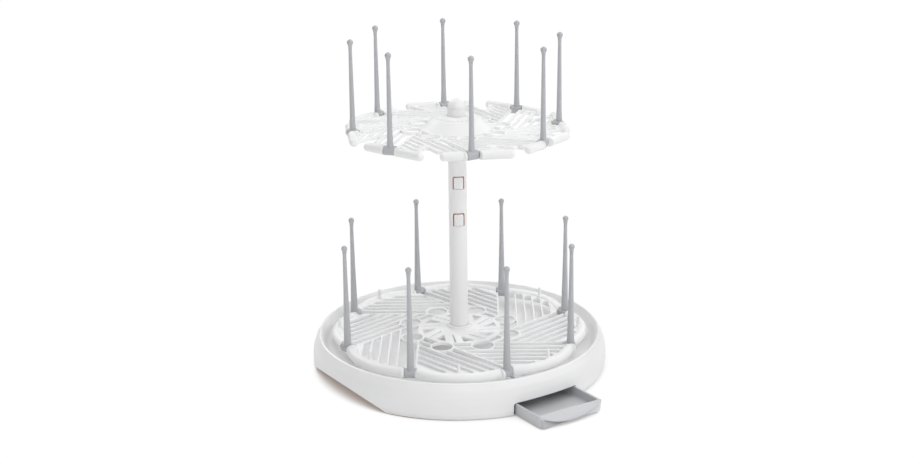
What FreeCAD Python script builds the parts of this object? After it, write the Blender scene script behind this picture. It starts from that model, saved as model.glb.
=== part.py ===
import FreeCAD, Part
import Sketcher
import math
import os
from FreeCAD import Vector, Placement, Rotation

# Two-tier rotating drying rack: a round base with a drawer, a post with height
# tabs, and two trays of folding pegs.  Origin on the counter under the post
# axis, +Z up, -Y towards the front.  All sizes in millimetres, angles in
# degrees.  Unless noted, angles count anticlockwise from +X, seen from above.

os.makedirs("parts", exist_ok=True)
doc = FreeCAD.newDocument("drying_rack")

# --------------------------------------------------------------- sheet
# alias, value, note
CELLS = [
    # base
    ("wall_foot_rad", 142.0, "outer wall radius at its foot"),
    ("wall_rad", 143.3, "largest outer wall radius"),
    ("wall_foot_z", 0.6, "underside of the wall above the counter"),
    ("wall_low_z", 5.0, "start of the upright wall band"),
    ("wall_top_z", 15.0, "end of the upright wall band"),
    ("crest_rad", 135.9, "radius of the crest line"),
    ("crest_z", 33.5, "height of the crest line"),
    ("crest_round", 1.6, "crest rounding"),
    ("basin_rad", 126.5, "radius where the basin floor starts"),
    ("basin_rim_z", 20.8, "basin floor height at its rim"),
    ("basin_low_z", 16.5, "basin floor height near the hub"),
    ("hub_rad", 16.5, "base hub radius"),
    ("hub_z", 25.9, "base hub top"),
    ("spigot_rad", 9.84, "spigot the lower tray turns on"),
    ("spigot_z", 33.0, "spigot top"),
    ("skin", 2.4, "wall thickness of the base"),
    ("grip_dir", -145.6, "direction of the front-left grip undercut"),
    ("grip_foot", 125.0, "distance of the undercut's lower line from the axis"),
    ("grip_slope", 0.92, "rise of the undercut per unit of reach"),
    # drawer
    ("drawer_dir", -55.8, "drawer direction"),
    ("drawer_front", 174.0, "drawer front, pulled out"),
    ("drawer_back", 76.5, "drawer back, pulled out"),
    ("drawer_half", 34.0, "half of the drawer width"),
    ("drawer_z", 1.7, "drawer underside"),
    ("drawer_top", 12.5, "drawer rim"),
    ("drawer_wall", 1.8, "drawer wall"),
    ("drawer_floor", 1.8, "drawer floor"),
    ("drawer_lip", 5.0, "how far the front lip bows out"),
    ("drawer_gap", 1.8, "gap beside the drawer in the wall"),
    # plate, feet, screws
    ("plate_rad", 139.0, "bottom plate radius"),
    ("plate_thick", 2.0, "bottom plate thickness"),
    ("foot_rad", 6.0, "rubber foot radius"),
    ("foot_pcr", 105.0, "foot circle radius"),
    ("screw_pcr", 70.0, "screw circle radius"),
    # post
    ("post_rad", 8.75, "post outer radius"),
    ("post_bore", 7.0, "post inner radius"),
    ("post_z", 6.0, "post lower end"),
    ("post_top", 254.85, "post upper end"),
    ("dome_rad", 8.9, "dome radius"),
    ("tab_dir", 7.0, "azimuth of the height tabs from the front"),
    ("tab_half", 5.5, "half width of the tab window"),
    ("tab_tall", 12.8, "height of the tab window"),
    ("tab_top", 226.4, "top of the highest tab window"),
    ("tab_pitch", 36.5, "distance between tabs"),
    ("tab_slit", 1.0, "slit around a tab"),
    # shared tray pattern
    ("peg_count", 8, "pegs on each tray"),
    ("tier_low_turn", -0.52, "turn of the lower tray at rest"),
    ("tier_up_turn", 30.0, "turn of the upper tray at rest"),
    ("axle_rad", 2.08, "peg axle radius"),
    ("bore_rad", 2.15, "peg clip bore radius"),
    ("clip_half", 5.65, "half length of the peg clip"),
    ("clip_gap", 0.35, "end gap beside the clip"),
    ("clip_sweep", 7.2, "half of the clip window"),
    # lower tray
    ("low_hinge_rad", 115.0, "hinge circle radius, lower tray"),
    ("low_hinge_z", 31.2, "hinge height, lower tray"),
    ("low_z", 27.2, "lower tray hub underside"),
    ("low_plate_z", 30.6, "lower tray plate underside"),
    ("low_top", 33.75, "lower tray top"),
    ("low_plate", 110.5, "lower tray plate radius"),
    ("low_tube", 5.0, "lower rim tube radius"),
    ("low_half", 3.8, "half width of the folding channel"),
    ("low_rib", 1.9, "rib thickness"),
    ("low_pitch", 8.7, "rib pitch"),
    ("low_slot_rad", 113.0, "radius reached by the slots"),
    ("low_hole", 9.8, "finger hole radius"),
    ("low_ring", 11.8, "finger hole ring radius"),
    ("low_hub", 20.0, "hub disc radius"),
    ("low_collar", 11.9, "hub collar radius"),
    ("low_bore", 9.9, "hub bore radius"),
    ("low_collar_z", 38.3, "hub collar top"),
    ("pin_rad", 1.5, "accessory pin radius"),
    ("pin_circle", 117.0, "accessory pin circle"),
    ("pin_top", 44.6, "accessory pin top"),
    # upper tray
    ("up_hinge_rad", 98.0, "hinge circle radius, upper tray"),
    ("up_hinge_z", 234.4, "hinge height, upper tray"),
    ("up_z", 229.6, "upper tray hub underside"),
    ("up_plate_z", 232.8, "upper tray plate underside"),
    ("up_top", 236.0, "upper tray top"),
    ("up_plate", 91.0, "upper tray plate radius"),
    ("up_tube", 4.1, "upper rim bar radius"),
    ("up_half", 3.6, "half width of the folding channel"),
    ("up_rib", 1.7, "rib thickness"),
    ("up_pitch", 7.4, "rib pitch"),
    ("up_slot_rad", 92.0, "radius reached by the slots"),
    ("up_hole", 8.4, "finger hole radius"),
    ("up_ring", 10.3, "finger hole ring radius"),
    ("bar_line", 99.6, "distance of a rim bar from the axis"),
    ("bar_left", 24.5, "bar reach on one side of its peg"),
    ("bar_right", 34.5, "bar reach on the other side"),
    ("cone_rad", 32.7, "cone foot radius"),
    ("cone_top_rad", 22.3, "cone top radius"),
    ("cone_top", 245.4, "cone top height"),
    ("sleeve_bore", 8.83, "height collar bore"),
    ("sleeve_rad", 13.0, "height collar sleeve radius"),
    ("up_bore", 13.07, "upper tray bore"),
    ("flange_z", 226.4, "height collar underside"),
    ("flange_top", 229.0, "height collar flange top"),
    ("flange_rad", 20.0, "height collar flange radius"),
    # pegs
    ("low_peg", 99.8, "ball centre above the hinge, lower pegs"),
    ("up_peg", 85.9, "ball centre above the hinge, upper pegs"),
    ("peg_foot", 3.5, "lower peg radius at its foot"),
    ("peg_mid", 2.25, "lower peg radius at the bend of its taper"),
    ("peg_mid_z", 58.0, "height of that bend above the hinge"),
    ("peg_neck", 1.75, "lower peg radius at its neck"),
    ("peg_foot_up", 2.9, "upper peg radius at its foot"),
    ("peg_mid_up", 2.45, "upper peg radius at the bend of its taper"),
    ("peg_mid_up_z", 15.0, "height of that bend above the hinge"),
    ("peg_neck_up", 1.6, "upper peg radius at its neck"),
    ("ball_rad", 2.9, "ball radius"),
    ("clip_rad", 4.3, "peg clip radius"),
]


class Quantity:
    """A length or angle: its present value and the expression that gives it."""

    def __init__(self, value, text=None):
        self.value = float(value)
        self.text = text or repr(self.value)

    def __add__(self, other):
        other = quantity(other)
        return Quantity(self.value + other.value, "(%s + %s)" % (self.text, other.text))

    def __sub__(self, other):
        other = quantity(other)
        return Quantity(self.value - other.value, "(%s - %s)" % (self.text, other.text))

    def __rsub__(self, other):
        return quantity(other) - self

    def __mul__(self, other):
        other = quantity(other)
        return Quantity(self.value * other.value, "(%s * %s)" % (self.text, other.text))

    def __truediv__(self, other):
        other = quantity(other)
        return Quantity(self.value / other.value, "(%s / %s)" % (self.text, other.text))

    def __neg__(self):
        return Quantity(-self.value, "(-1 * %s)" % self.text)

    @property
    def bound(self):
        return "Sheet." in self.text


class Dimensions:
    """Holds one Quantity for each alias of the sheet."""


dim = Dimensions()
sheet = doc.addObject("Spreadsheet::Sheet", "Sheet")
for row, (alias, value, note) in enumerate(CELLS, start=1):
    sheet.set("A%d" % row, note)
    sheet.set("B%d" % row, repr(value))
    sheet.setAlias("B%d" % row, alias)
    setattr(dim, alias, Quantity(value, "Sheet." + alias))
doc.recompute()


def quantity(number):
    return number if isinstance(number, Quantity) else Quantity(number)


def root(number):
    return Quantity(math.sqrt(number.value), "sqrt(%s)" % number.text)


# -------------------------------------------------------------- places
FRONT = -90.0                                # angle of the front, -Y
HALF_STEP = 180.0 / dim.peg_count.value      # half the angle between pegs
CORNERS = [dim.drawer_dir.value + 45.0 + 90.0 * k for k in range(4)]  # feet and screws


def at_angle(radius, angle):
    radius = quantity(radius)
    return radius * math.cos(math.radians(angle)), radius * math.sin(math.radians(angle))


def turn_point(x, y, angle):
    """The point (x, y) turned about the post axis."""
    x, y = quantity(x), quantity(y)
    cosine, sine = math.cos(math.radians(angle)), math.sin(math.radians(angle))
    return x * cosine - y * sine, x * sine + y * cosine


def bow_radius(half_chord, sag):
    """Radius of the arc with this half chord and this height over the chord."""
    return (half_chord * half_chord + sag * sag) / (sag * 2.0)


# ------------------------------------------------------------ sketches
def bind(obj, prop, value):
    if value.bound:
        obj.setExpression(prop, value.text)


def drive(obj, prop, value):
    """Set a plain property, and bind it where the sheet gives its value."""
    value = quantity(value)
    setattr(obj, prop, value.value)
    bind(obj, prop, value)


def origin_feature(body, role):
    for feature in body.Origin.OriginFeatures:
        if feature.Role == role:
            return feature
    raise RuntimeError(role)


def new_body(label):
    return doc.addObject("PartDesign::Body", label)


def new_sketch(body, name, role="XY_Plane", lift=None, offset=None):
    """A sketch on an origin plane, lifted along its normal or freely offset."""
    sketch = body.newObject("Sketcher::SketchObject", name)
    sketch.AttachmentSupport = [(origin_feature(body, role), "")]
    sketch.MapMode = "FlatFace"
    if offset is not None:
        sketch.AttachmentOffset = offset
    if lift is not None:
        lift = quantity(lift)
        sketch.AttachmentOffset = Placement(Vector(0, 0, lift.value), Rotation())
        bind(sketch, "AttachmentOffset.Base.z", lift)
    return sketch


def turned(angle, reach=0.0):
    """Offset for an XZ sketch: turned about Z, then moved along its normal."""
    rotation = Rotation(Vector(0, 1, 0), angle)
    return Placement(rotation.multVec(Vector(0, 0, reach)), rotation)


class Arc:
    """Outline step: an arc to end about centre."""

    def __init__(self, end, centre, ccw=True):
        self.end = end
        self.centre = centre
        self.ccw = ccw


def hold(shape_id, vertex, axis, value):
    """Constraint on x (axis 0) or y (axis 1) of a vertex, with its quantity."""
    if value.value == 0 and not value.bound:
        return Sketcher.Constraint("PointOnObject", shape_id, vertex, (-2, -1)[axis]), value
    kind = ("DistanceX", "DistanceY")[axis]
    return Sketcher.Constraint(kind, -1, 1, shape_id, vertex, value.value), value


def constrain(sketch, held):
    first = sketch.ConstraintCount
    sketch.addConstraint([constraint for constraint, _ in held])
    for k, (_, value) in enumerate(held):
        bind(sketch, "Constraints[%d]" % (first + k), value)


def vector(point):
    return Vector(point[0].value, point[1].value, 0)


def draw(sketch, outline):
    """One closed outline, every corner held by the sheet.

    The first item is a point, the others are points reached by a line or
    Arcs.  A line closes the outline if it does not end where it starts.
    """
    corners = []
    arcs = []
    for item in outline:
        curved = isinstance(item, Arc)
        x, y = item.end if curved else item
        corners.append((quantity(x), quantity(y)))
        arcs.append(item if curved else None)
    if (vector(corners[0]) - vector(corners[-1])).Length > 1e-9:
        corners.append(corners[0])
        arcs.append(None)
    corners[-1] = corners[0]
    arcs = arcs[1:]

    shapes = []
    for start, end, arc in zip(corners, corners[1:], arcs):
        start, end = vector(start), vector(end)
        if arc is None:
            shapes.append(Part.LineSegment(start, end))
            continue
        centre = vector([quantity(w) for w in arc.centre])
        begin = math.atan2(start.y - centre.y, start.x - centre.x)
        finish = math.atan2(end.y - centre.y, end.x - centre.x)
        if not arc.ccw:
            begin, finish = finish, begin
        while finish <= begin:
            finish += 2 * math.pi
        full = Part.Circle(centre, Vector(0, 0, 1), (start - centre).Length)
        shapes.append(Part.ArcOfCircle(full, begin, finish))
    ids = list(sketch.addGeometry(shapes, False))

    # vertex number at which each segment starts: 1, or 2 for a clockwise arc
    heads = [2 if arc and not arc.ccw else 1 for arc in arcs]
    held = []
    for i in range(len(ids)):
        j = (i + 1) % len(ids)
        joint = Sketcher.Constraint("Coincident", ids[i], 3 - heads[i], ids[j], heads[j])
        held.append((joint, Quantity(0)))
    for i, arc in enumerate(arcs):
        (x0, y0), (x1, y1) = corners[i], corners[i + 1]
        held.append(hold(ids[i], heads[i], 0, x0))
        held.append(hold(ids[i], heads[i], 1, y0))
        if arc:
            # one centre coordinate is enough, the one across the chord
            axis = 1 if abs(x1.value - x0.value) >= abs(y1.value - y0.value) else 0
            held.append(hold(ids[i], 3, axis, quantity(arc.centre[axis])))
    constrain(sketch, held)


def rectangle(x0, x1, y0, y1):
    return [(x0, y0), (x1, y0), (x1, y1), (x0, y1)]


def circle(sketch, x, y, radius):
    x, y, radius = quantity(x), quantity(y), quantity(radius)
    shape = Part.Circle(Vector(x.value, y.value, 0), Vector(0, 0, 1), radius.value)
    shape_id = sketch.addGeometry(shape, False)
    size = Sketcher.Constraint("Radius", shape_id, radius.value)
    constrain(sketch, [hold(shape_id, 3, 0, x), hold(shape_id, 3, 1, y), (size, radius)])


# ------------------------------------------------------------ features
def extrude(kind, body, name, sketch, length):
    feature = body.newObject(kind, name)
    feature.Profile = sketch
    drive(feature, "Length", length)
    return feature


def pad(body, name, sketch, length):
    return extrude("PartDesign::Pad", body, name, sketch, length)


def pocket(body, name, sketch, length):
    return extrude("PartDesign::Pocket", body, name, sketch, length)


def revolve(body, name, sketch, axis="V_Axis", angle=360.0):
    feature = body.newObject("PartDesign::Revolution", name)
    feature.Profile = sketch
    feature.ReferenceAxis = (sketch, [axis])
    feature.Angle = angle
    return feature


def lathe(body, sketch_name, name, outline, angle=360.0, **place):
    """Revolve an outline of (radius, height) points, drawn on the XZ plane."""
    sketch = new_sketch(body, sketch_name, "XZ_Plane", **place)
    draw(sketch, outline)
    return revolve(body, name, sketch, angle=angle)


def around(body, name, features, count=dim.peg_count):
    """Repeat features about the post axis, once for each peg by default."""
    pattern = body.newObject("PartDesign::PolarPattern", name)
    pattern.Originals = features
    pattern.Axis = (origin_feature(body, "Z_Axis"), [""])
    pattern.Angle = 360
    pattern.Occurrences = int(quantity(count).value)
    bind(pattern, "Occurrences", quantity(count))
    body.Tip = pattern
    return pattern


def cylinder(name, radius, height, z, place=(0, 0)):
    x, y = (quantity(w).value for w in place)
    z = quantity(z)
    solid = doc.addObject("Part::Cylinder", name)
    drive(solid, "Radius", radius)
    drive(solid, "Height", height)
    solid.Placement = Placement(Vector(x, y, z.value), Rotation())
    bind(solid, "Placement.Base.z", z)
    return solid


def drawer_box(name, x_range, y_range, z_range):
    """A box in the drawer's frame: x along the drawer direction, y across."""
    solid = doc.addObject("Part::Box", name)
    for prop, (low, high) in zip(("Length", "Width", "Height"), (x_range, y_range, z_range)):
        drive(solid, prop, quantity(high) - low)
    angle = dim.drawer_dir.value
    x, y = turn_point(x_range[0], y_range[0], angle)
    solid.Placement = Placement(Vector(x.value, y.value, quantity(z_range[0]).value),
                                Rotation(Vector(0, 0, 1), angle))
    return solid


def turn_about_post(obj, turn):
    obj.Placement = Placement(Vector(0, 0, 0), Rotation(Vector(0, 0, 1), turn.value))
    obj.setExpression("Placement.Rotation.Angle", turn.text)


PIECES = []


def piece(obj, label, turn=None):
    """Register a finished piece for export."""
    obj.Label = label
    if turn is not None:
        turn_about_post(obj, turn)
    PIECES.append((label, obj))


# ---------------------------------------------------------- base shell
WALL_ARC = 34.0          # radius of the wall's arc up to the crest
RIB_Z = 2.7              # underside of the rails and bosses
GRIP_FOOT_INSIDE = dim.grip_foot - dim.skin * 1.45
FLOOR_UNDER = dim.basin_low_z - 1.9
SCREW_SPOTS = [at_angle(dim.screw_pcr, angle) for angle in CORNERS]
FOOT_SPOTS = [at_angle(dim.foot_pcr, angle) for angle in CORNERS]
# drain slots, in the drawer's frame: sideways place, outer end
DRAINS = ((-22.0, 103.0), (-11.0, 106.0), (0.0, 107.0), (11.0, 106.0), (22.0, 103.0))
DRAIN_LONG = 12.0
DRAIN_HALF = 1.6


def convex_centre(start, end, radius):
    """Centre of the convex arc from start up to end."""
    (x0, y0), (x1, y1) = start, end
    dx, dy = x1.value - x0.value, y1.value - y0.value
    half = math.hypot(dx, dy) / 2
    ratio = math.sqrt(radius * radius - half * half) / (2 * half)
    return (x0.value + x1.value) / 2 - dy * ratio, (y0.value + y1.value) / 2 + dx * ratio


def grip_wedge(foot, inward, outward):
    slope = dim.grip_slope
    return [(foot - inward, slope * -inward), (foot + outward, slope * outward),
            (foot + outward, slope * -inward)]


def cut_grips(body, sketch_name, cut_name, outline):
    """Cut straight through the body at the front-left grip and opposite it."""
    for i, angle in enumerate((dim.grip_dir.value, dim.grip_dir.value + 180.0)):
        sketch = new_sketch(body, "%s_%d" % (sketch_name, i), "XZ_Plane",
                            offset=turned(angle, 160.0))
        draw(sketch, outline)
        pocket(body, "%s_%d" % (cut_name, i), sketch, 320.0)


def base_outer():
    """The base as a full solid, without its hollow."""
    body = new_body("base_outer")
    crest, crest_z, rounding = dim.crest_rad, dim.crest_z, dim.crest_round
    hub, basin, basin_z = dim.hub_rad, dim.basin_rad, dim.basin_rim_z
    wall_top = (dim.wall_rad, dim.wall_top_z)
    crest_out = (crest + rounding * 0.9, crest_z - rounding * 0.55)
    lathe(body, "base_outer_profile", "base_outer_solid", [
        (0, dim.wall_foot_z), (dim.wall_foot_rad, dim.wall_foot_z),
        (dim.wall_rad, dim.wall_low_z), wall_top,
        Arc(crest_out, convex_centre(wall_top, crest_out, WALL_ARC)),
        Arc((crest - rounding * 0.95, crest_z - rounding * 0.55),
            (crest - rounding * 0.025, crest_z - rounding * 0.85)),
        # basin
        (basin + 4.2, basin_z + 3.4), (basin + 1.6, basin_z + 0.7), (basin, basin_z),
        (hub + 14.0, dim.basin_low_z), (hub + 7.0, dim.basin_low_z + 1.6),
        # hub and spigot
        (hub + 1.2, dim.hub_z - 1.4), (hub - 0.4, dim.hub_z),
        (dim.spigot_rad, dim.hub_z), (dim.spigot_rad, dim.spigot_z), (0, dim.spigot_z)])
    cut_grips(body, "grip_cut", "grip", grip_wedge(dim.grip_foot, 4.0, 32.0))
    return body


def base_cavity():
    """The hollow under the basin, open downwards."""
    body = new_body("base_cavity")
    crest, basin, basin_z = dim.crest_rad, dim.basin_rad, dim.basin_rim_z
    core = 14.0
    bottom = dim.wall_foot_z - 1.0
    shoulder = dim.crest_z - dim.crest_round * 2.2
    ceiling = dim.basin_low_z - 2.1
    lathe(body, "cavity_profile", "cavity_solid", [
        (core, bottom), (dim.wall_foot_rad - dim.skin, bottom),
        (dim.wall_rad - dim.skin, dim.wall_low_z), (dim.wall_rad - dim.skin, dim.wall_top_z),
        (crest + 2.6, dim.crest_z - 8.0), (crest + 0.2, shoulder), (crest - 1.6, shoulder),
        (basin + 6.4, basin_z + 2.4), (basin + 3.4, basin_z - 1.6),
        (basin + 0.6, basin_z - 2.1), (dim.hub_rad + 14.0, ceiling), (core, ceiling)])
    cut_grips(body, "cavity_cut", "cavity_grip", grip_wedge(GRIP_FOOT_INSIDE, 6.0, 34.0))
    return body


def drawer_mouth():
    """Tool that opens the wall for the drawer: rounded, with a bowed top edge."""
    body = new_body("drawer_mouth")
    side = dim.drawer_half + dim.drawer_gap
    bottom, top = 1.5, dim.drawer_top + 0.75
    corner, sag = quantity(2.6), quantity(1.2)
    bow_centre = top + sag - bow_radius(side - corner, sag)
    sketch = new_sketch(body, "mouth_profile", "YZ_Plane", lift=120.0)
    draw(sketch, [
        (corner - side, bottom), (side - corner, bottom),
        Arc((side, corner + bottom), (side - corner, corner + bottom)),
        (side, top - corner),
        Arc((side - corner, top), (side - corner, top - corner)),
        Arc((corner - side, top), (0, bow_centre)),
        Arc((-side, top - corner), (corner - side, top - corner)),
        (-side, corner + bottom),
        Arc((corner - side, bottom), (corner - side, corner + bottom))])
    pad(body, "mouth_solid", sketch, 32.0)
    turn_about_post(body, dim.drawer_dir)
    return body


def base_shell():
    outer, cavity = base_outer(), base_cavity()

    # rails beside the drawer, and bosses for the plate screws
    near, far = dim.drawer_half + 0.8, dim.drawer_half + 2.6
    rails = [drawer_box("rail_%d" % i, (40.0, 137.0), sides, (RIB_Z, FLOOR_UNDER + 2.0))
             for i, sides in enumerate(((-far, -near), (near, far)))]
    bosses = [cylinder("boss_%d" % i, 4.0, FLOOR_UNDER + 1.0 - RIB_Z, RIB_Z, spot)
              for i, spot in enumerate(SCREW_SPOTS)]
    hollow = doc.addObject("Part::Cut", "base_hollow")
    hollow.Base, hollow.Tool = outer, cavity
    ribbed = doc.addObject("Part::MultiFuse", "base_ribbed")
    ribbed.Shapes = [hollow] + rails + bosses

    tools = [
        drawer_mouth(),
        cylinder("socket", dim.post_rad + 0.05, dim.spigot_z - dim.post_z + 2.0, dim.post_z),
        cylinder("post_screw_hole", 2.2, 10.0, 0.0),
        cylinder("post_screw_seat", 5.0, 2.9, 0.6),
        cylinder("centre_pad_seat", 9.55, 2.0, -0.4)]
    tools += [cylinder("pilot_%d" % i, 1.5, 9.0, 2.0, spot)
              for i, spot in enumerate(SCREW_SPOTS)]
    # drain slots through the basin floor above the drawer
    tools += [drawer_box("drain_%d" % i, (reach - DRAIN_LONG, reach),
                         (side - DRAIN_HALF, side + DRAIN_HALF), (10.0, 26.0))
              for i, (side, reach) in enumerate(DRAINS)]
    toolset = doc.addObject("Part::MultiFuse", "base_tools")
    toolset.Shapes = tools
    shell = doc.addObject("Part::Cut", "base_shell")
    shell.Base, shell.Tool = ribbed, toolset
    piece(shell, "base_shell")


# ----------------------------------------- bottom plate, feet, screws
def bottom_plate():
    body = new_body("bottom_plate")
    bottom, thick = dim.wall_foot_z, dim.plate_thick
    sketch = new_sketch(body, "plate_outline", lift=bottom)
    circle(sketch, 0, 0, dim.plate_rad)
    circle(sketch, 0, 0, 14.35)
    for x, y in SCREW_SPOTS:
        circle(sketch, x, y, 1.7)
    pad(body, "plate_solid", sketch, thick)

    grip = GRIP_FOOT_INSIDE - 0.4
    cut_grips(body, "plate_cut", "plate_trim", rectangle(grip, grip + 30.0, -1.0, 6.0))

    # shallow lane under the drawer, 1 mm into the upper face
    sketch = new_sketch(body, "lane", lift=bottom + thick + 1.0)
    side = dim.drawer_half + dim.drawer_gap + 2.4
    draw(sketch, [turn_point(x, y, dim.drawer_dir.value)
                  for x, y in rectangle(38.0, 146.0, -side, side)])
    pocket(body, "plate_lane", sketch, 2.0)

    # seats of the feet and screw heads, 1 mm into the underside
    sketch = new_sketch(body, "foot_seats", lift=bottom + 1.0)
    for (foot_x, foot_y), (screw_x, screw_y) in zip(FOOT_SPOTS, SCREW_SPOTS):
        circle(sketch, foot_x, foot_y, dim.foot_rad + 0.05)
        circle(sketch, screw_x, screw_y, 3.3)
    pocket(body, "plate_seats", sketch, 2.0)
    piece(body, "bottom_plate")


def rubber_pad(name, edge_name, radius, height, place=(0, 0)):
    """A disc on the counter with its lower edge chamfered."""
    disc = cylinder(name, radius, height, 0.0, place)
    chamfer = doc.addObject("Part::Chamfer", edge_name)
    chamfer.Base = disc
    doc.recompute()
    chamfer.Edges = [(k, 0.3, 0.3) for k, edge in enumerate(disc.Shape.Edges, start=1)
                     if edge.Curve.TypeId == "Part::GeomCircle"
                     and abs(edge.CenterOfMass.z) < 1e-6]
    return chamfer


def rubber_feet():
    feet = [rubber_pad("foot_%d" % i, "foot_edge_%d" % i, dim.foot_rad,
                       dim.wall_foot_z + 0.98, spot) for i, spot in enumerate(FOOT_SPOTS)]
    # the pad under the hub carries the post and covers its screw
    feet.append(rubber_pad("centre_pad", "centre_pad_edge", 9.5, 1.58))
    group = doc.addObject("Part::Compound", "rubber_feet")
    group.Links = feet
    piece(group, "rubber_feet")


def screw(name, place, z, head_rad, head_tall, shank_rad, shank_long):
    """A screw pointing up, its head at the bottom with a round socket."""
    blank = doc.addObject("Part::Fuse", name + "_blank")
    blank.Base = cylinder(name + "_head", head_rad, head_tall, z, place)
    blank.Tool = cylinder(name + "_shank", shank_rad, shank_long, z + head_tall - 0.2, place)
    finished = doc.addObject("Part::Cut", name)
    finished.Base = blank
    finished.Tool = cylinder(name + "_socket", head_rad * 0.42, head_tall * 0.5, z, place)
    return finished


def screws():
    group = doc.addObject("Part::Compound", "base_screws")
    group.Links = [screw("base_screw_%d" % i, spot, z=0.75, head_rad=3.0, head_tall=0.8,
                         shank_rad=1.45, shank_long=8.0)
                   for i, spot in enumerate(SCREW_SPOTS)]
    piece(group, "base_screws")
    piece(screw("post_screw", (0, 0), z=1.65, head_rad=4.0, head_tall=1.8,
                shank_rad=1.85, shank_long=9.0), "post_screw")


# ---------------------------------------------------------------- post
TAB_COUNT = 3


def post_tube():
    body = new_body("post_tube")
    radius, bore, bottom = dim.post_rad, dim.post_bore, dim.post_z
    screw_hole = 1.9
    lathe(body, "post_profile", "post_solid", [
        (screw_hole, bottom + 0.02), (radius - 0.8, bottom + 0.02), (radius, bottom + 0.82),
        (radius, dim.post_top), (bore, dim.post_top), (bore, bottom + 5.0),
        (screw_hole, bottom + 5.0)])

    # tab windows, rounded at the top, from the highest one down
    half, top, corner = dim.tab_half, dim.tab_top, 1.6
    sketch = new_sketch(body, "tab_window", "XZ_Plane",
                        offset=turned(dim.tab_dir.value, 12.0))
    draw(sketch, [
        (-half, top - dim.tab_tall), (half, top - dim.tab_tall), (half, top - corner),
        Arc((half - corner, top), (half - corner, top - corner)), (corner - half, top),
        Arc((-half, top - corner), (corner - half, top - corner))])
    window = pocket(body, "tab_window_cut", sketch, 12.0)
    row = body.newObject("PartDesign::LinearPattern", "tab_windows")
    row.Originals = [window]
    row.Direction = (origin_feature(body, "Z_Axis"), [""])
    row.Reversed = True
    drive(row, "Length", dim.tab_pitch * (TAB_COUNT - 1))
    row.Occurrences = TAB_COUNT
    body.Tip = row
    piece(body, "post_tube")


def height_tab(index):
    """A curved tab in its window; index 0 is the highest."""
    label = "height_tab_%d" % (index + 1)
    body = new_body(label)
    radius, bore = dim.post_rad, dim.post_bore
    half_angle = math.degrees(math.asin((dim.tab_half.value - dim.tab_slit.value) / radius.value))
    drop = dim.tab_pitch * index
    top = dim.tab_top - dim.tab_slit - drop
    bottom = dim.tab_top - dim.tab_tall + 0.35 - drop
    lathe(body, "tab_profile_%d" % index, "tab_solid_%d" % index,
          [(bore, bottom), (radius, bottom), (radius, top - 1.2), (radius - 0.25, top),
           (bore, top)],
          angle=2 * half_angle, offset=turned(FRONT + dim.tab_dir.value - half_angle))
    piece(body, label)


def post_cap():
    body = new_body("post_cap")
    plug, plug_z = dim.post_bore - 0.05, dim.post_top - 7.0
    seat = dim.post_top + 0.02
    lathe(body, "cap_profile", "cap_solid", [
        (0, plug_z), (plug, plug_z), (plug, seat), (dim.dome_rad, seat),
        Arc((0, seat + dim.dome_rad), (0, seat))])
    piece(body, "post_cap")


# ------------------------------------------- bearing rings and collar
# label: inner radius, outer radius, underside, top
BEARING_RINGS = {
    "lower_bearing_ring": (dim.spigot_rad + 0.5, dim.hub_rad - 1.2,
                           dim.hub_z + 0.03, dim.hub_z + 1.0),
    "upper_bearing_ring": (dim.sleeve_rad + 0.1, dim.flange_rad - 3.0,
                           dim.flange_top + 0.03, dim.up_z - 0.05),
}


def bearing_ring(label):
    body = new_body(label)
    lathe(body, label + "_profile", label + "_solid", rectangle(*BEARING_RINGS[label]))
    piece(body, label)


def height_collar():
    """Flanged sleeve on the post that the upper tray turns on."""
    body = new_body("height_collar")
    bore, sleeve, flange = dim.sleeve_bore, dim.sleeve_rad, dim.flange_rad
    bottom, top = dim.flange_z, dim.cone_top
    lathe(body, "collar_profile", "collar_solid", [
        (bore, bottom + 0.05), (flange - 1.0, bottom + 0.05), (flange, bottom + 1.0),
        (flange, dim.flange_top), (sleeve, dim.flange_top), (sleeve, top + 0.1),
        (sleeve - 2.0, top + 0.1), (sleeve - 2.0, top + 2.2), (bore + 0.5, top + 2.2),
        (bore, top + 1.7)])
    piece(body, "height_collar")


def collar_lock_ring():
    """Ring above the cone, with scallops around its edge."""
    body = new_body("collar_lock_ring")
    sleeve, top = dim.sleeve_rad, dim.cone_top
    lathe(body, "lock_profile", "lock_solid", [
        (sleeve - 1.97, top + 0.15), (sleeve + 6.2, top + 0.15), (sleeve + 6.2, top + 0.9),
        (sleeve + 2.0, top + 2.4), (sleeve - 1.97, top + 2.4)])
    sketch = new_sketch(body, "lock_scallop", lift=top + 3.0)
    circle(sketch, 0, -(sleeve + 6.6), 1.25)
    scallop = pocket(body, "lock_scallop_cut", sketch, 4.0)
    around(body, "lock_scallops", [scallop], count=28)
    piece(body, "collar_lock_ring")


# --------------------------------------------------------------- trays
# Both trays are drawn at one eighth of the turn, then repeated.  The hinge
# lies half a step left of the front and its folding channel runs along Y.
# A tier is "low" or "up", the start of its aliases.
def tier_dim(tier, name):
    return getattr(dim, "%s_%s" % (tier, name))


def hinge_point(tier):
    radius = tier_dim(tier, "hinge_rad")
    angle = math.radians(HALF_STEP)
    return -radius * math.sin(angle), -radius * math.cos(angle)


def channel_lean(tier):
    """Height over the line y = x of the slanted inner end line."""
    x, _ = hinge_point(tier)
    return (-x - tier_dim(tier, "half") - tier_dim(tier, "rib")) * math.sqrt(2.0)


def tray_plate(body, tier, sketch_name, name, draw_outline):
    """Pad of the plate thickness; draw_outline fills its sketch."""
    bottom = tier_dim(tier, "plate_z")
    sketch = new_sketch(body, sketch_name, lift=bottom)
    draw_outline(sketch)
    return pad(body, name, sketch, tier_dim(tier, "top") - bottom)


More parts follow.
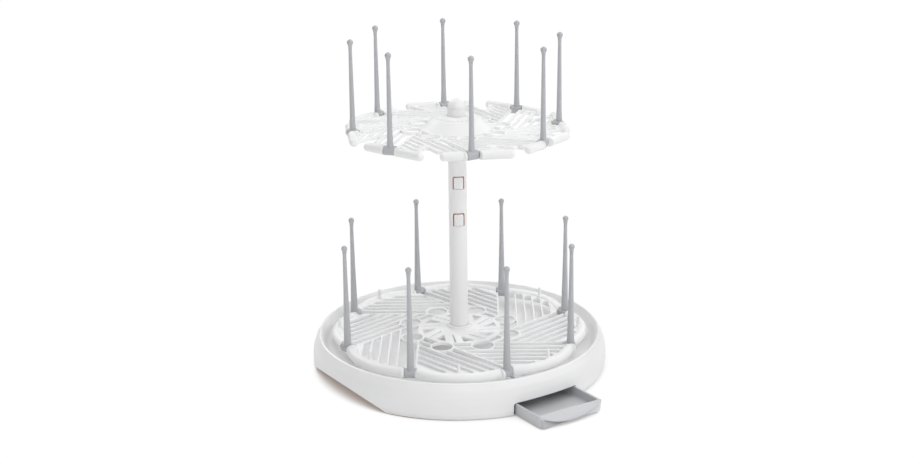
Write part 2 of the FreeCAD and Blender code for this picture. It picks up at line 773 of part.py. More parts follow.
def tray_cut(body, tier, sketch_name, name, draw_outline):
    """Cut through the whole tray; draw_outline fills its sketch."""
    top = tier_dim(tier, "top")
    sketch = new_sketch(body, sketch_name, lift=top + 4.0)
    draw_outline(sketch)
    return pocket(body, name, sketch, top - tier_dim(tier, "z") + 8.0)


def tray_disc(body, tier, bore):
    def outline(sketch):
        circle(sketch, 0, 0, tier_dim(tier, "plate"))
        circle(sketch, 0, 0, bore)

    tray_plate(body, tier, tier + "_plate_outline", tier + "_plate_solid", outline)


def tray_openings(body, tier, slot_ends, extra, hole_x, hole_y):
    """Slots left of the channel, the channel, and the ringed finger hole.

    slot_ends gives the y of each slot's outer end, or None where the slot
    reaches the slot radius.  extra lists further outlines cut with the slots.
    """
    x, y = hinge_point(tier)
    half, rib, pitch = (tier_dim(tier, name) for name in ("half", "rib", "pitch"))
    lean = channel_lean(tier)
    reach = tier_dim(tier, "slot_rad")
    radius = (pitch - rib) / 2

    def slots(sketch):
        right = x - half - rib
        for end in slot_ends:
            left = right - (pitch - rib)
            middle = left + radius
            if end is None:
                centre_y = -root(reach * reach - middle * middle) + radius
            else:
                centre_y = radius + end
            draw(sketch, [(left, centre_y), Arc((right, centre_y), (middle, centre_y)),
                          (right, right + lean), (left, left + lean)])
            right = left - rib
        for outline in extra:
            draw(sketch, outline)

    def channel(sketch):
        left, right = x - half, x + half
        draw(sketch, [(left, y), (right, y), (right, right + lean), (left, left + lean)])

    return [
        tray_cut(body, tier, tier + "_slots", tier + "_slots_cut", slots),
        tray_cut(body, tier, tier + "_channel", tier + "_channel_cut", channel),
        tray_plate(body, tier, tier + "_ring_outline", tier + "_ring_solid",
                   lambda sketch: circle(sketch, hole_x, hole_y, tier_dim(tier, "ring"))),
        tray_cut(body, tier, tier + "_hole_outline", tier + "_hole_cut",
                 lambda sketch: circle(sketch, hole_x, hole_y, tier_dim(tier, "hole")))]


def tray_hinges(body, tier):
    """Clip windows, axles and the two cheeks that carry each axle."""
    x, y = hinge_point(tier)
    z = tier_dim(tier, "hinge_z")
    reach = dim.clip_half + dim.clip_gap
    cheek = 2.2
    sketch = new_sketch(body, tier + "_window", lift=z + 20.0)
    draw(sketch, rectangle(x - reach, x + reach, y - dim.clip_sweep - 3.0, y + dim.clip_sweep))
    features = [pocket(body, tier + "_window_cut", sketch, 40.0)]
    # name, name of the bar, left end, radius, length
    bars = (
        ("axle", "axle_bar", x - reach - cheek, dim.axle_rad, reach * 2.0 + 2 * cheek),
        ("cheek_0", "cheek_bar_0", x - reach - cheek, tier_dim(tier, "tube"), cheek),
        ("cheek_1", "cheek_bar_1", x + reach, tier_dim(tier, "tube"), cheek),
    )
    for name, bar_name, left, radius, length in bars:
        sketch = new_sketch(body, "%s_%s" % (tier, name), "YZ_Plane", lift=left)
        circle(sketch, y, z, radius)
        features.append(pad(body, "%s_%s" % (tier, bar_name), sketch, length))
    around(body, tier + "_hinges", features)


# ---------------------------------------------------------- lower tray
PETAL_START = at_angle(113.5, FRONT - 19.3)
PETAL_END = at_angle(115.5, FRONT + 19.0)
PETAL_X, PETAL_Y = 1.5365, -54.4496      # centre of the petal's edge arc
PETAL_RAD = 65.568                       # radius of that arc
SLIT_START = at_angle(18.3, FRONT - 21.5)
SLIT_END = at_angle(38.6, FRONT - 4.5)
SLIT_HALF = 0.8
HUB_TRIANGLE = [at_angle(22.3, FRONT + 4.3), at_angle(36.6, FRONT + 7.1),
                at_angle(36.8, FRONT + 24.7)]


def slit_outline():
    """The slanted slit beside the hub."""
    (x0, y0), (x1, y1) = SLIT_START, SLIT_END
    along = Vector(x1.value - x0.value, y1.value - y0.value, 0)
    along.normalize()
    side_x, side_y = -along.y * SLIT_HALF, along.x * SLIT_HALF
    return [(x0 + side_x, y0 + side_y), (x0 - side_x, y0 - side_y),
            (x1 - side_x, y1 - side_y), (x1 + side_x, y1 + side_y)]


def lower_hub(body):
    """Hub disc with its collar."""
    bore, collar, hub = dim.low_bore, dim.low_collar, dim.low_hub
    bottom, top, collar_z = dim.low_z - 0.15, dim.low_top, dim.low_collar_z
    post_bore, shoulder = dim.post_rad + 0.3, dim.spigot_z + 0.6
    lathe(body, "low_hub_profile", "low_hub_solid", [
        (bore, bottom), (hub, bottom), (hub, top), (hub - 2.0, top + 0.45),
        (collar + 1.8, top + 1.0),
        Arc((collar, top + 2.8), (collar + 1.8, top + 2.8), ccw=False),
        (collar, collar_z - 0.5), (collar - 0.5, collar_z), (post_bore, collar_z),
        (post_bore, shoulder), (bore, shoulder)])


def rim_petals(body):
    """Petals of the rim: a filled segment and the tube along its edge."""
    segment = tray_plate(body, "low", "petal_outline", "petal_solid",
                         lambda sketch: draw(sketch, [
                             PETAL_START, Arc(PETAL_END, (PETAL_X, PETAL_Y))]))
    start, end = (math.degrees(math.atan2(y.value - PETAL_Y, x.value - PETAL_X))
                  for x, y in (PETAL_START, PETAL_END))
    # on the XZ plane the sketch's normal is -Y
    offset = Placement(Vector(PETAL_X, 0, -PETAL_Y), Rotation(Vector(0, 1, 0), start))
    sketch = new_sketch(body, "petal_tube_profile", "XZ_Plane", offset=offset)
    circle(sketch, PETAL_RAD, dim.low_hinge_z, dim.low_tube)
    tube = revolve(body, "petal_tube", sketch, angle=end - start)
    around(body, "petals", [segment, tube])


def accessory_pins(body):
    radius, foot, top = dim.pin_rad, dim.low_top, dim.pin_top
    tip = radius - 0.2
    pin = lathe(body, "pin_profile", "pin_solid", [
        (0, foot - 2.0), (radius + 0.5, foot - 2.0), (radius + 0.5, foot + 0.6),
        (radius, foot + 1.6), (tip, top - tip), Arc((0, top), (0, top - tip))],
        lift=dim.pin_circle)
    around(body, "pins", [pin])


def lower_tray():
    body = new_body("lower_tray")
    tray_disc(body, "low", dim.low_bore + 4.0)
    lower_hub(body)
    rim_petals(body)
    openings = tray_openings(body, "low", slot_ends=(None,) * 5,
                             extra=(slit_outline(), HUB_TRIANGLE),
                             hole_x=-45.2, hole_y=-22.8)
    around(body, "low_pattern", openings)
    tray_hinges(body, "low")
    accessory_pins(body)
    piece(body, "lower_tray", dim.tier_low_turn)


# ---------------------------------------------------------- upper tray
UP_SLOT_ENDS = (None, None, -43.0, -48.0, -61.0, -54.0)
ARM_INNER = -83.0        # inner edge of an arm, with its peg turned to the front
# x, y of the notch cut out of the rim between two arms
NOTCH = [(-58.9, -52.0), (-61.6, -49.2), (-64.6, -50.2),
         (-92.0, -96.0), (-64.0, -102.0), (-60.2, -78.0)]


def cone(body):
    """Cone around the height collar, hollow below."""
    bore, foot, tip = dim.up_bore, dim.cone_rad, dim.cone_top_rad
    bottom, plate_top, top = dim.up_z, dim.up_top, dim.cone_top
    lathe(body, "cone_profile", "cone_solid", [
        (bore, bottom), (bore + 3.0, bottom), (bore + 3.0, top - 2.5), (tip - 1.0, top - 2.5),
        (foot - 2.6, plate_top - 1.0), (foot - 2.6, bottom), (foot + 0.6, bottom),
        (foot + 0.6, plate_top), (foot, plate_top + 0.15), (tip + 0.4, top - 0.6),
        (tip - 0.4, top), (bore, top)])


def rim_arms(body):
    """Flat arms that carry the rim bars."""
    corners = rectangle(-dim.bar_left, dim.bar_right, -dim.bar_line, ARM_INNER)
    arm = tray_plate(body, "up", "arm_outline", "arm_solid",
                     lambda sketch: draw(sketch, [turn_point(x, y, -HALF_STEP)
                                                  for x, y in corners]))
    around(body, "arms", [arm])


def rim_bars(body):
    """Straight round bars with ball ends along the rim."""
    left, right, radius = dim.bar_left, dim.bar_right, dim.up_tube
    x, y = turn_point(0, -dim.bar_line, -HALF_STEP)
    offset = Placement(Vector(x.value, y.value, dim.up_hinge_z.value),
                       Rotation(Vector(0, 0, 1), -HALF_STEP))
    sketch = new_sketch(body, "bar_profile", offset=offset)
    draw(sketch, [
        (-left - radius, 0), (right + radius, 0), Arc((right, radius), (right, 0)),
        (-left, radius), Arc((-left - radius, 0), (-left, 0))])
    bar = revolve(body, "bar_solid", sketch, "H_Axis")
    around(body, "bars", [bar])


def upper_tray():
    body = new_body("upper_tray")
    tray_disc(body, "up", dim.cone_rad - 2.0)
    cone(body)
    rim_arms(body)
    openings = tray_openings(body, "up", slot_ends=UP_SLOT_ENDS, extra=(),
                             hole_x=-38.2, hole_y=-19.4)
    openings.append(tray_cut(body, "up", "up_notch", "up_notch_cut",
                             lambda sketch: draw(sketch, NOTCH)))
    around(body, "up_pattern", openings)
    rim_bars(body)
    tray_hinges(body, "up")
    piece(body, "upper_tray", dim.tier_up_turn)


# ---------------------------------------------------------------- pegs
def peg(label, tier, index, turn, foot, bend, bend_z, neck):
    """An upright peg, drawn with its hinge axis on X and its clip open below."""
    body = new_body(label)
    ball, ball_z, half = dim.ball_rad, tier_dim(tier, "peg"), dim.clip_half
    flare = quantity(2.2)
    lathe(body, label + "_shaft", label + "_shaft_solid", [
        (0, 2.6), (foot, 2.6), (foot, 4.8), (bend, bend_z), (neck, ball_z - 8.0),
        (flare, ball_z - root(ball * ball - flare * flare)),
        Arc((0, ball_z + ball), (0, ball_z))])

    sketch = new_sketch(body, label + "_clip", "YZ_Plane", lift=-half)
    circle(sketch, 0, 0, dim.clip_rad)
    circle(sketch, 0, 0, dim.bore_rad)
    pad(body, label + "_clip_solid", sketch, half * 2.0)

    sketch = new_sketch(body, label + "_foot", "YZ_Plane", lift=-half + 0.4)
    draw(sketch, rectangle(2.2, 5.3, 0.5, 3.3))
    pad(body, label + "_foot_solid", sketch, half * 2.0 - 0.8)

    sketch = new_sketch(body, label + "_jaw", "YZ_Plane", lift=-3.5)
    draw(sketch, rectangle(1.8, 4.0, -5.2, -1.4))
    pad(body, label + "_jaw_solid", sketch, 7.0)

    sketch = new_sketch(body, label + "_mouth", "YZ_Plane", lift=half + 1.0)
    draw(sketch, rectangle(-1.65, 1.65, -7.0, -0.1))
    pocket(body, label + "_mouth_cut", sketch, half * 2.0 + 2.0)

    rotation = Rotation(Vector(0, 0, 1), turn.value + 2 * HALF_STEP * index)
    x, y = hinge_point(tier)
    z = tier_dim(tier, "hinge_z")
    body.Placement = Placement(rotation.multVec(Vector(x.value, y.value, z.value)), rotation)
    bind(body, "Placement.Base.z", z)
    piece(body, label)


def pegs():
    for k in range(int(dim.peg_count.value)):
        peg("lower_peg_%d" % (k + 1), "low", k, dim.tier_low_turn,
            dim.peg_foot, dim.peg_mid, dim.peg_mid_z, dim.peg_neck)
    for k in range(int(dim.peg_count.value)):
        peg("upper_peg_%d" % (k + 1), "up", k, dim.tier_up_turn,
            dim.peg_foot_up, dim.peg_mid_up, dim.peg_mid_up_z, dim.peg_neck_up)


# -------------------------------------------------------------- drawer
def drawer():
    """The drawer, pulled out, drawn along +X and then turned to its direction."""
    body = new_body("drawer")
    front, back, half = dim.drawer_front, dim.drawer_back, dim.drawer_half
    bottom, top, wall = dim.drawer_z, dim.drawer_top, dim.drawer_wall
    corner = 4.0
    sketch = new_sketch(body, "drawer_outline", lift=bottom)
    draw(sketch, [
        (back, -half), (front - corner, -half),
        Arc((front, corner - half), (front - corner, corner - half)), (front, half - corner),
        Arc((front - corner, half), (front - corner, half - corner)), (back, half)])
    pad(body, "drawer_block", sketch, top - bottom)

    # lip on the front: bowed out at its foot, nearly straight at the rim
    side = half - 1.0
    sections = []
    for name, lift, sag in (("lip_foot", top - 7.2, dim.drawer_lip),
                            ("lip_head", top, quantity(0.2))):
        sketch = new_sketch(body, name, lift=lift)
        draw(sketch, [
            (front - 1.5, -side), (front, -side),
            Arc((front, side), (front + sag - bow_radius(side, sag), 0)),
            (front - 1.5, side)])
        sections.append(sketch)
    loft = body.newObject("PartDesign::AdditiveLoft", "front_lip")
    loft.Profile = sections[0]
    loft.Sections = [sections[1]]
    loft.Ruled = True
    doc.recompute()

    sketch = new_sketch(body, "drawer_hollow", lift=top + 1.0)
    x0, x1, y1, rounding = back + wall, front - 3.2, half - wall, 2.6
    y0 = -y1
    draw(sketch, [
        (x0 + rounding, y0), (x1 - rounding, y0),
        Arc((x1, y0 + rounding), (x1 - rounding, y0 + rounding)), (x1, y1 - rounding),
        Arc((x1 - rounding, y1), (x1 - rounding, y1 - rounding)), (x0 + rounding, y1),
        Arc((x0, y1 - rounding), (x0 + rounding, y1 - rounding)), (x0, y0 + rounding),
        Arc((x0 + rounding, y0), (x0 + rounding, y0 + rounding))])
    pocket(body, "drawer_hollow_cut", sketch, top + 1.0 - bottom - dim.drawer_floor)

    # stop standing on the back wall
    sketch = new_sketch(body, "stop_outline", lift=top - 1.0)
    draw(sketch, rectangle(back, back + wall, -20.0, 20.0))
    pad(body, "stop_solid", sketch, 2.35)

    # the lower long edges are eased, to run clear of the rounded mouth
    sketch = new_sketch(body, "runner_ease", "YZ_Plane", lift=front + 10.0)
    low, high = bottom - 0.5, bottom + 1.4
    draw(sketch, [(half - 1.4, low), (half + 0.5, low), (half + 0.5, high)])
    draw(sketch, [(1.4 - half, low), (-0.5 - half, high), (-0.5 - half, low)])
    pocket(body, "runner_ease_cut", sketch, 120.0)
    piece(body, "drawer", dim.drawer_dir)


# --------------------------------------------------------------- build
base_shell()
bottom_plate()
rubber_feet()
screws()
post_tube()
for tab_index in range(TAB_COUNT):
    height_tab(tab_index)
post_cap()
for ring_label in BEARING_RINGS:
    bearing_ring(ring_label)
height_collar()
collar_lock_ring()
lower_tray()
upper_tray()
pegs()
drawer()

# -------------------------------------------------- checks and export
doc.recompute()
for obj in doc.Objects:
    if "Invalid" in obj.State or "Error" in obj.State:
        raise RuntimeError("%s: %s" % (obj.Name, obj.State))
for label, obj in PIECES:
    shape = obj.Shape
    if shape.isNull() or not shape.isValid():
        raise RuntimeError("bad shape: " + label)
    if obj.TypeId == "PartDesign::Body" and len(shape.Solids) != 1:
        raise RuntimeError("%s has %d solids" % (label, len(shape.Solids)))
for label, obj in PIECES:
    obj.Shape.exportStep("parts/%s.step" % label)
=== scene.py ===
"""A peg stand: a round basin with a drawer, a hollow post and two trays of eight pegs.

The post stands on the Z axis and the base lies just above z = 0. The front is -Y, the right
is +X. Shapes are given in millimetres and built in metres; materials, lights and the camera
are in metres. Azimuths are degrees from +X toward +Y unless a comment says otherwise.
"""
import math
from collections import namedtuple
from contextlib import contextmanager

import bmesh
import bpy
from mathutils import Matrix, Vector
from mathutils.geometry import delaunay_2d_cdt


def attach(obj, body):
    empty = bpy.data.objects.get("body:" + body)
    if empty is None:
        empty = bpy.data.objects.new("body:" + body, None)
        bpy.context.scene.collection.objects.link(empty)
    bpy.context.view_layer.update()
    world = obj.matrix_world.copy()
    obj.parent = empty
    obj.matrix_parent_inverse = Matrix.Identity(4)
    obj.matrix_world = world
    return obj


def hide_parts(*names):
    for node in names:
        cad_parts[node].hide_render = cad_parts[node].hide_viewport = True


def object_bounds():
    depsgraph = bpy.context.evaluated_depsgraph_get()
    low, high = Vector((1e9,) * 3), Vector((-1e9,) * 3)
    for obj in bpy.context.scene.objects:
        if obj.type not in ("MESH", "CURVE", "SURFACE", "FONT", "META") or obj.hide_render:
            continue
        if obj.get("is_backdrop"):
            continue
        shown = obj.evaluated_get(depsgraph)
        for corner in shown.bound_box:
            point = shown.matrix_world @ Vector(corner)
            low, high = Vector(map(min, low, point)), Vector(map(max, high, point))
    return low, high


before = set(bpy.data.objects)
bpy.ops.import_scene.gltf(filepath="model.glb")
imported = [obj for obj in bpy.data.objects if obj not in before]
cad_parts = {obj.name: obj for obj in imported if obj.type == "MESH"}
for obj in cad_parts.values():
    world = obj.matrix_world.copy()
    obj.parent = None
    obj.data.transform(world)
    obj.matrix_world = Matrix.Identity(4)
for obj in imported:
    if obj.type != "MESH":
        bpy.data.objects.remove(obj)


def as_lists(bounds):
    # bounds may be a list of points or one flat list of numbers
    try:
        return [[float(v) for v in point] for point in bounds]
    except TypeError:
        return [float(v) for v in bounds]


cad_box = as_lists(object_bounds())
scene = bpy.context.scene

MM = 0.001
CREASE = 32.0  # degrees; sharper edges are shaded hard

# dimensions that several pieces share
POST_OUTER, POST_INNER = 8.75, 7.0
DRAWER_AZIMUTH = -55.8
DRAWER_HALF = 34.0  # half the drawer's width


# ------------------------------------------------------------------ mesh tools
@contextmanager
def editing(mesh):
    edit = bmesh.new()
    edit.from_mesh(mesh)
    yield edit
    edit.to_mesh(mesh)
    edit.free()


def link(obj):
    scene.collection.objects.link(obj)
    return obj


def drop(obj):
    mesh = obj.data
    bpy.data.objects.remove(obj)
    if mesh.users == 0:
        bpy.data.meshes.remove(mesh)


def shade(mesh, crease=CREASE):
    limit = math.radians(crease)
    with editing(mesh) as edit:
        for face in edit.faces:
            face.smooth = True
        for edge in edit.edges:
            hard = len(edge.link_faces) == 2 and edge.calc_face_angle(0.0) > limit
            edge.smooth = not hard


def new_object(name, verts, faces, material=None, crease=CREASE):
    mesh = bpy.data.meshes.new(name)
    mesh.from_pydata([(x * MM, y * MM, z * MM) for x, y, z in verts], [], faces)
    with editing(mesh) as edit:
        bmesh.ops.remove_doubles(edit, verts=edit.verts, dist=1e-7)
        bmesh.ops.recalc_face_normals(edit, faces=edit.faces)
    shade(mesh, crease)
    obj = link(bpy.data.objects.new(name, mesh))
    if material:
        mesh.materials.append(material)
    return obj


def join_parts(name, parts, material=None):
    """Several closed shells as one mesh."""
    mesh = bpy.data.meshes.new(name)
    edit = bmesh.new()
    for part in parts:
        edit.from_mesh(part.data)
    edit.to_mesh(mesh)
    edit.free()
    shade(mesh)
    for part in parts:
        drop(part)
    obj = link(bpy.data.objects.new(name, mesh))
    if material:
        mesh.materials.append(material)
    return obj


def boolean(obj, tool, operation="DIFFERENCE", crease=CREASE):
    """Applies a boolean to obj and uses the tool up."""
    modifier = obj.modifiers.new("b", "BOOLEAN")
    modifier.operation = operation
    modifier.solver = "EXACT"
    modifier.object = tool
    bpy.context.view_layer.update()
    depsgraph = bpy.context.evaluated_depsgraph_get()
    mesh = bpy.data.meshes.new_from_object(obj.evaluated_get(depsgraph))
    obj.modifiers.remove(modifier)
    old = obj.data
    materials = list(old.materials)
    obj.data = mesh
    bpy.data.meshes.remove(old)
    mesh.materials.clear()
    for material in materials:
        mesh.materials.append(material)
    with editing(mesh) as edit:
        bmesh.ops.remove_doubles(edit, verts=edit.verts, dist=2e-7)
        bmesh.ops.dissolve_degenerate(edit, edges=edit.edges, dist=2e-7)
        for face in edit.faces:
            face.material_index = 0
    shade(mesh, crease)
    drop(tool)
    return obj


def spun(obj, degrees):
    """Turns the mesh about Z."""
    obj.data.transform(Matrix.Rotation(math.radians(degrees), 4, "Z"))
    return obj


def along_x(obj):
    """Lays a prism down so that (x, y, z) becomes (z, x, y)."""
    obj.data.transform(Matrix(((0, 0, 1, 0), (1, 0, 0, 0), (0, 1, 0, 0), (0, 0, 0, 1))))
    with editing(obj.data) as edit:
        bmesh.ops.recalc_face_normals(edit, faces=edit.faces)
    return obj


# ------------------------------------------------------------- outlines in 2D
def fillet(points, closed=False, steps=6):
    """Rounds a polyline's corners. Points are (x, y) or (x, y, radius)."""
    rounded = []
    count = len(points)
    for i, point in enumerate(points):
        radius = point[2] if len(point) > 2 else 0.0
        if radius <= 0 or (not closed and i in (0, count - 1)):
            rounded.append((point[0], point[1]))
            continue
        before = Vector(points[(i - 1) % count][:2])
        corner = Vector(point[:2])
        after = Vector(points[(i + 1) % count][:2])
        back, ahead = (before - corner).normalized(), (after - corner).normalized()
        angle = math.acos(max(-0.999999, min(0.999999, back.dot(ahead))))
        if angle > math.pi - 1e-3:
            rounded.append((point[0], point[1]))
            continue
        cut = radius / math.tan(angle / 2)
        cut = min(cut, 0.49 * (before - corner).length, 0.49 * (after - corner).length)
        radius = cut * math.tan(angle / 2)
        centre = corner + (back + ahead).normalized() * (radius / math.sin(angle / 2))
        start, end = corner + back * cut, corner + ahead * cut
        start_angle = math.atan2(start.y - centre.y, start.x - centre.x)
        sweep = math.atan2(end.y - centre.y, end.x - centre.x) - start_angle
        while sweep > math.pi:
            sweep -= 2 * math.pi
        while sweep < -math.pi:
            sweep += 2 * math.pi
        pieces = max(2, int(math.ceil(steps * abs(sweep) / (math.pi / 2) - 1e-6)))
        for j in range(pieces + 1):
            at = start_angle + sweep * j / pieces
            rounded.append((centre.x + radius * math.cos(at), centre.y + radius * math.sin(at)))
    return rounded


def arc(x, y, radius, start, end, steps):
    angles = [start + (end - start) * i / steps for i in range(steps + 1)]
    return [(x + radius * math.cos(a), y + radius * math.sin(a)) for a in angles]


def circle(x, y, radius, count):
    angles = [2 * math.pi * i / count for i in range(count)]
    return [(x + radius * math.cos(a), y + radius * math.sin(a)) for a in angles]


def rounded_box(x0, x1, y0, y1, radius, steps):
    corners = [(x0, y0, radius), (x1, y0, radius), (x1, y1, radius), (x0, y1, radius)]
    return fillet(corners, closed=True, steps=steps)


def arch(half, bottom, top, radius):
    """A window with square lower corners and rounded upper ones."""
    outline = fillet([(half, bottom), (half, top, radius), (-half, top, radius),
                      (-half, bottom)], steps=5)
    return outline[-1:] + outline[:-1]


def turn(points, degrees):
    angle = math.radians(degrees)
    cos, sin = math.cos(angle), math.sin(angle)
    return [(cos * x - sin * y, sin * x + cos * y) for x, y in points]


def from_front(radius, degrees):
    """The point at an azimuth counted from -Y toward +X."""
    angle = math.radians(degrees)
    return (radius * math.sin(angle), -radius * math.cos(angle))


def double_area(loop):
    pairs = zip(loop, loop[1:] + loop[:1])
    return sum(a[0] * b[1] - b[0] * a[1] for a, b in pairs)


def inset(loop, distance):
    """Moves every corner to the loop's left, mitred."""
    moved = []
    count = len(loop)
    for i in range(count):
        before, corner, after = Vector(loop[i - 1]), Vector(loop[i]), Vector(loop[(i + 1) % count])
        into, out = corner - before, after - corner
        if into.length < 1e-9 or out.length < 1e-9:
            moved.append(loop[i])
            continue
        into.normalize()
        out.normalize()
        left_in, left_out = Vector((-into.y, into.x)), Vector((-out.y, out.x))
        mitre = left_in + left_out
        if mitre.length < 1e-6:
            mitre = left_in
        mitre.normalize()
        stretch = 1.0 / max(0.5, mitre.dot(left_in))
        moved.append((corner.x + mitre.x * distance * stretch,
                      corner.y + mitre.y * distance * stretch))
    return moved


class Outline:
    """A closed loop of points that can tell whether it surrounds a point."""

    def __init__(self, points):
        self.points = points
        xs, ys = [p[0] for p in points], [p[1] for p in points]
        self.box = (min(xs), max(xs), min(ys), max(ys))

    def has(self, x, y):
        x_min, x_max, y_min, y_max = self.box
        if not (x_min <= x <= x_max and y_min <= y <= y_max):
            return False
        within = False
        xj, yj = self.points[-1]
        for xi, yi in self.points:
            if (yi > y) != (yj > y) and x < (xj - xi) * (y - yi) / (yj - yi) + xi:
                within = not within
            xj, yj = xi, yi
        return within


def triangulate(loops, tolerance):
    """Triangles that respect all loops: their corners, the faces, and where corners came from."""
    points, edges = [], []
    for loop in loops:
        first, count = len(points), len(loop)
        points += [Vector(p) for p in loop]
        edges += [(first + i, first + (i + 1) % count) for i in range(count)]
    corners, _, faces, origins, _, _ = delaunay_2d_cdt(points, edges, [], 0, tolerance)
    return corners, faces, origins


def middle(corners, face):
    return (sum(corners[i].x for i in face) / len(face),
            sum(corners[i].y for i in face) / len(face))


NEAR_POINTS = 0.02  # points of a traced loop closer than this are merged
LEAST_DOUBLE_AREA = 0.5  # traced loops smaller than this are dropped


def tidy(loop):
    """Drops points that crowd the last one, then those on a straight run."""
    spaced = []
    for point in loop:
        if spaced and (Vector(point) - Vector(spaced[-1])).length < NEAR_POINTS:
            continue
        spaced.append(point)
    kept = []
    for i, point in enumerate(spaced):
        corner = Vector(point)
        into = corner - Vector(spaced[i - 1])
        out = Vector(spaced[(i + 1) % len(spaced)]) - corner
        if (into.length > 1e-9 and out.length > 1e-9
                and abs(into.normalized().cross(out.normalized())) < 1e-3 and into.dot(out) > 0):
            continue
        kept.append(point)
    return kept


def region_loops(outlines, layers):
    """Edge loops of a flat region, largest first.

    outlines are all that can bound it. layers are (outlines, solid): the first layer that
    covers a place decides whether it is solid.
    """
    corners, faces, _ = triangulate([outline.points for outline in outlines], 1e-5)
    border = {}
    for face in faces:
        x, y = middle(corners, face)
        if not next((solid for group, solid in layers if any(o.has(x, y) for o in group)), False):
            continue
        for a, b in zip(face, face[1:] + face[:1]):
            if (b, a) in border:
                del border[(b, a)]
            else:
                border[(a, b)] = True
    following = {}
    for a, b in border:
        following.setdefault(a, []).append(b)

    def step(here, previous):
        """Takes one edge that leaves here; at a pinch the sharpest turn keeps loops apart."""
        options = following[here]
        if previous is None or len(options) == 1:
            there = options.pop()
        else:
            heading = corners[here] - corners[previous]

            def turning(option):
                ahead = corners[option] - corners[here]
                return math.atan2(heading.x * ahead.y - heading.y * ahead.x, heading.dot(ahead))

            there = max(options, key=turning)
            options.remove(there)
        if not options:
            del following[here]
        return there

    loops = []
    while following:
        loop = [next(iter(following))]
        there = step(loop[0], None)
        while there != loop[0]:
            loop.append(there)
            there = step(there, loop[-2])
        outline = tidy([(corners[i].x, corners[i].y) for i in loop])
        if len(outline) > 2 and abs(double_area(outline)) > LEAST_DOUBLE_AREA:
            loops.append(outline)
    loops.sort(key=lambda loop: -abs(double_area(loop)))
    return loops


# --------------------------------------------------------------------- solids
def lathe(name, profile, segments, material=None, wobble=None):
    """Closed profile of (radius, z) turned about Z; points on the axis become poles."""
    verts, faces, rings = [], [], []
    for radius, z in profile:
        first = len(verts)
        if radius < 1e-6:
            verts.append((0, 0, z))
            rings.append([first] * segments)
            continue
        for s in range(segments):
            angle = 2 * math.pi * s / segments
            reach = radius if wobble is None else wobble(radius, angle)
            verts.append((reach * math.cos(angle), reach * math.sin(angle), z))
        rings.append(list(range(first, first + segments)))
    for low, high in zip(rings, rings[1:] + rings[:1]):
        if low[0] == low[1] and high[0] == high[1]:
            continue
        for s in range(segments):
            t = (s + 1) % segments
            face = []
            for vert in (low[s], low[t], high[t], high[s]):
                if vert not in face:
                    face.append(vert)
            if len(face) > 2:
                faces.append(face)
    return new_object(name, verts, faces, material)


def bridge(faces, low, high):
    """Quads between two rings of equal length."""
    count = len(low)
    for i in range(count):
        t = (i + 1) % count
        faces.append((low[i], low[t], high[t], high[i]))


def fill_end(verts, faces, rims, flip):
    """Fills the flat area between rims of vertex numbers: the outer rim, then any holes."""
    flat = [i for rim in rims for i in rim]
    z = verts[flat[0]][2]
    loops = [[verts[i][:2] for i in rim] for rim in rims]
    outlines = [Outline(loop) for loop in loops]
    corners, triangles, origins = triangulate(loops, 1e-7)
    number = {}
    for k, origin in enumerate(origins):
        if origin:
            number[k] = flat[origin[0]]
        else:
            verts.append((corners[k].x, corners[k].y, z))
            number[k] = len(verts) - 1
    for triangle in triangles:
        x, y = middle(corners, triangle)
        if sum(outline.has(x, y) for outline in outlines) % 2 == 0:
            continue
        face = [number[i] for i in triangle]
        if len(set(face)) == len(face):
            faces.append(list(reversed(face)) if flip else face)


def prism(name, loops, z0, z1, bevel, steps=3):
    """A plate with rounded edges: loops[0] outside, the rest holes."""
    angles = [math.pi / 2 * j / steps for j in range(steps + 1)]
    # (inset, z) up the wall
    levels = [(bevel * (1 - math.sin(a)), z0 + bevel * (1 - math.cos(a))) for a in angles]
    levels += [(bevel * (1 - math.cos(a)), z1 - bevel * (1 - math.sin(a))) for a in angles]
    verts, faces, tops, bottoms = [], [], [], []
    for k, loop in enumerate(loops):
        # the solid lies to the left of every loop
        if (double_area(loop) > 0) != (k == 0):
            loop = list(reversed(loop))
        rings = []
        for distance, z in levels:
            rings.append([len(verts) + i for i in range(len(loop))])
            moved = loop if distance < 1e-9 else inset(loop, distance)
            verts += [(x, y, z) for x, y in moved]
        for low, high in zip(rings[:-1], rings[1:]):
            bridge(faces, low, high)
        bottoms.append(rings[0])
        tops.append(rings[-1])
    fill_end(verts, faces, tops, flip=False)
    fill_end(verts, faces, bottoms, flip=True)
    return new_object(name, verts, faces)


def block(name, loop, z0, z1):
    """A sharp-edged prism, for cutting."""
    return prism(name, [loop], z0, z1, 0.0, steps=1)


def radial_block(name, loop, start, end, azimuth):
    """A sharp prism that runs outward: the loop is given as (lateral, height)."""
    return spun(along_x(block(name, loop, start, end)), azimuth)


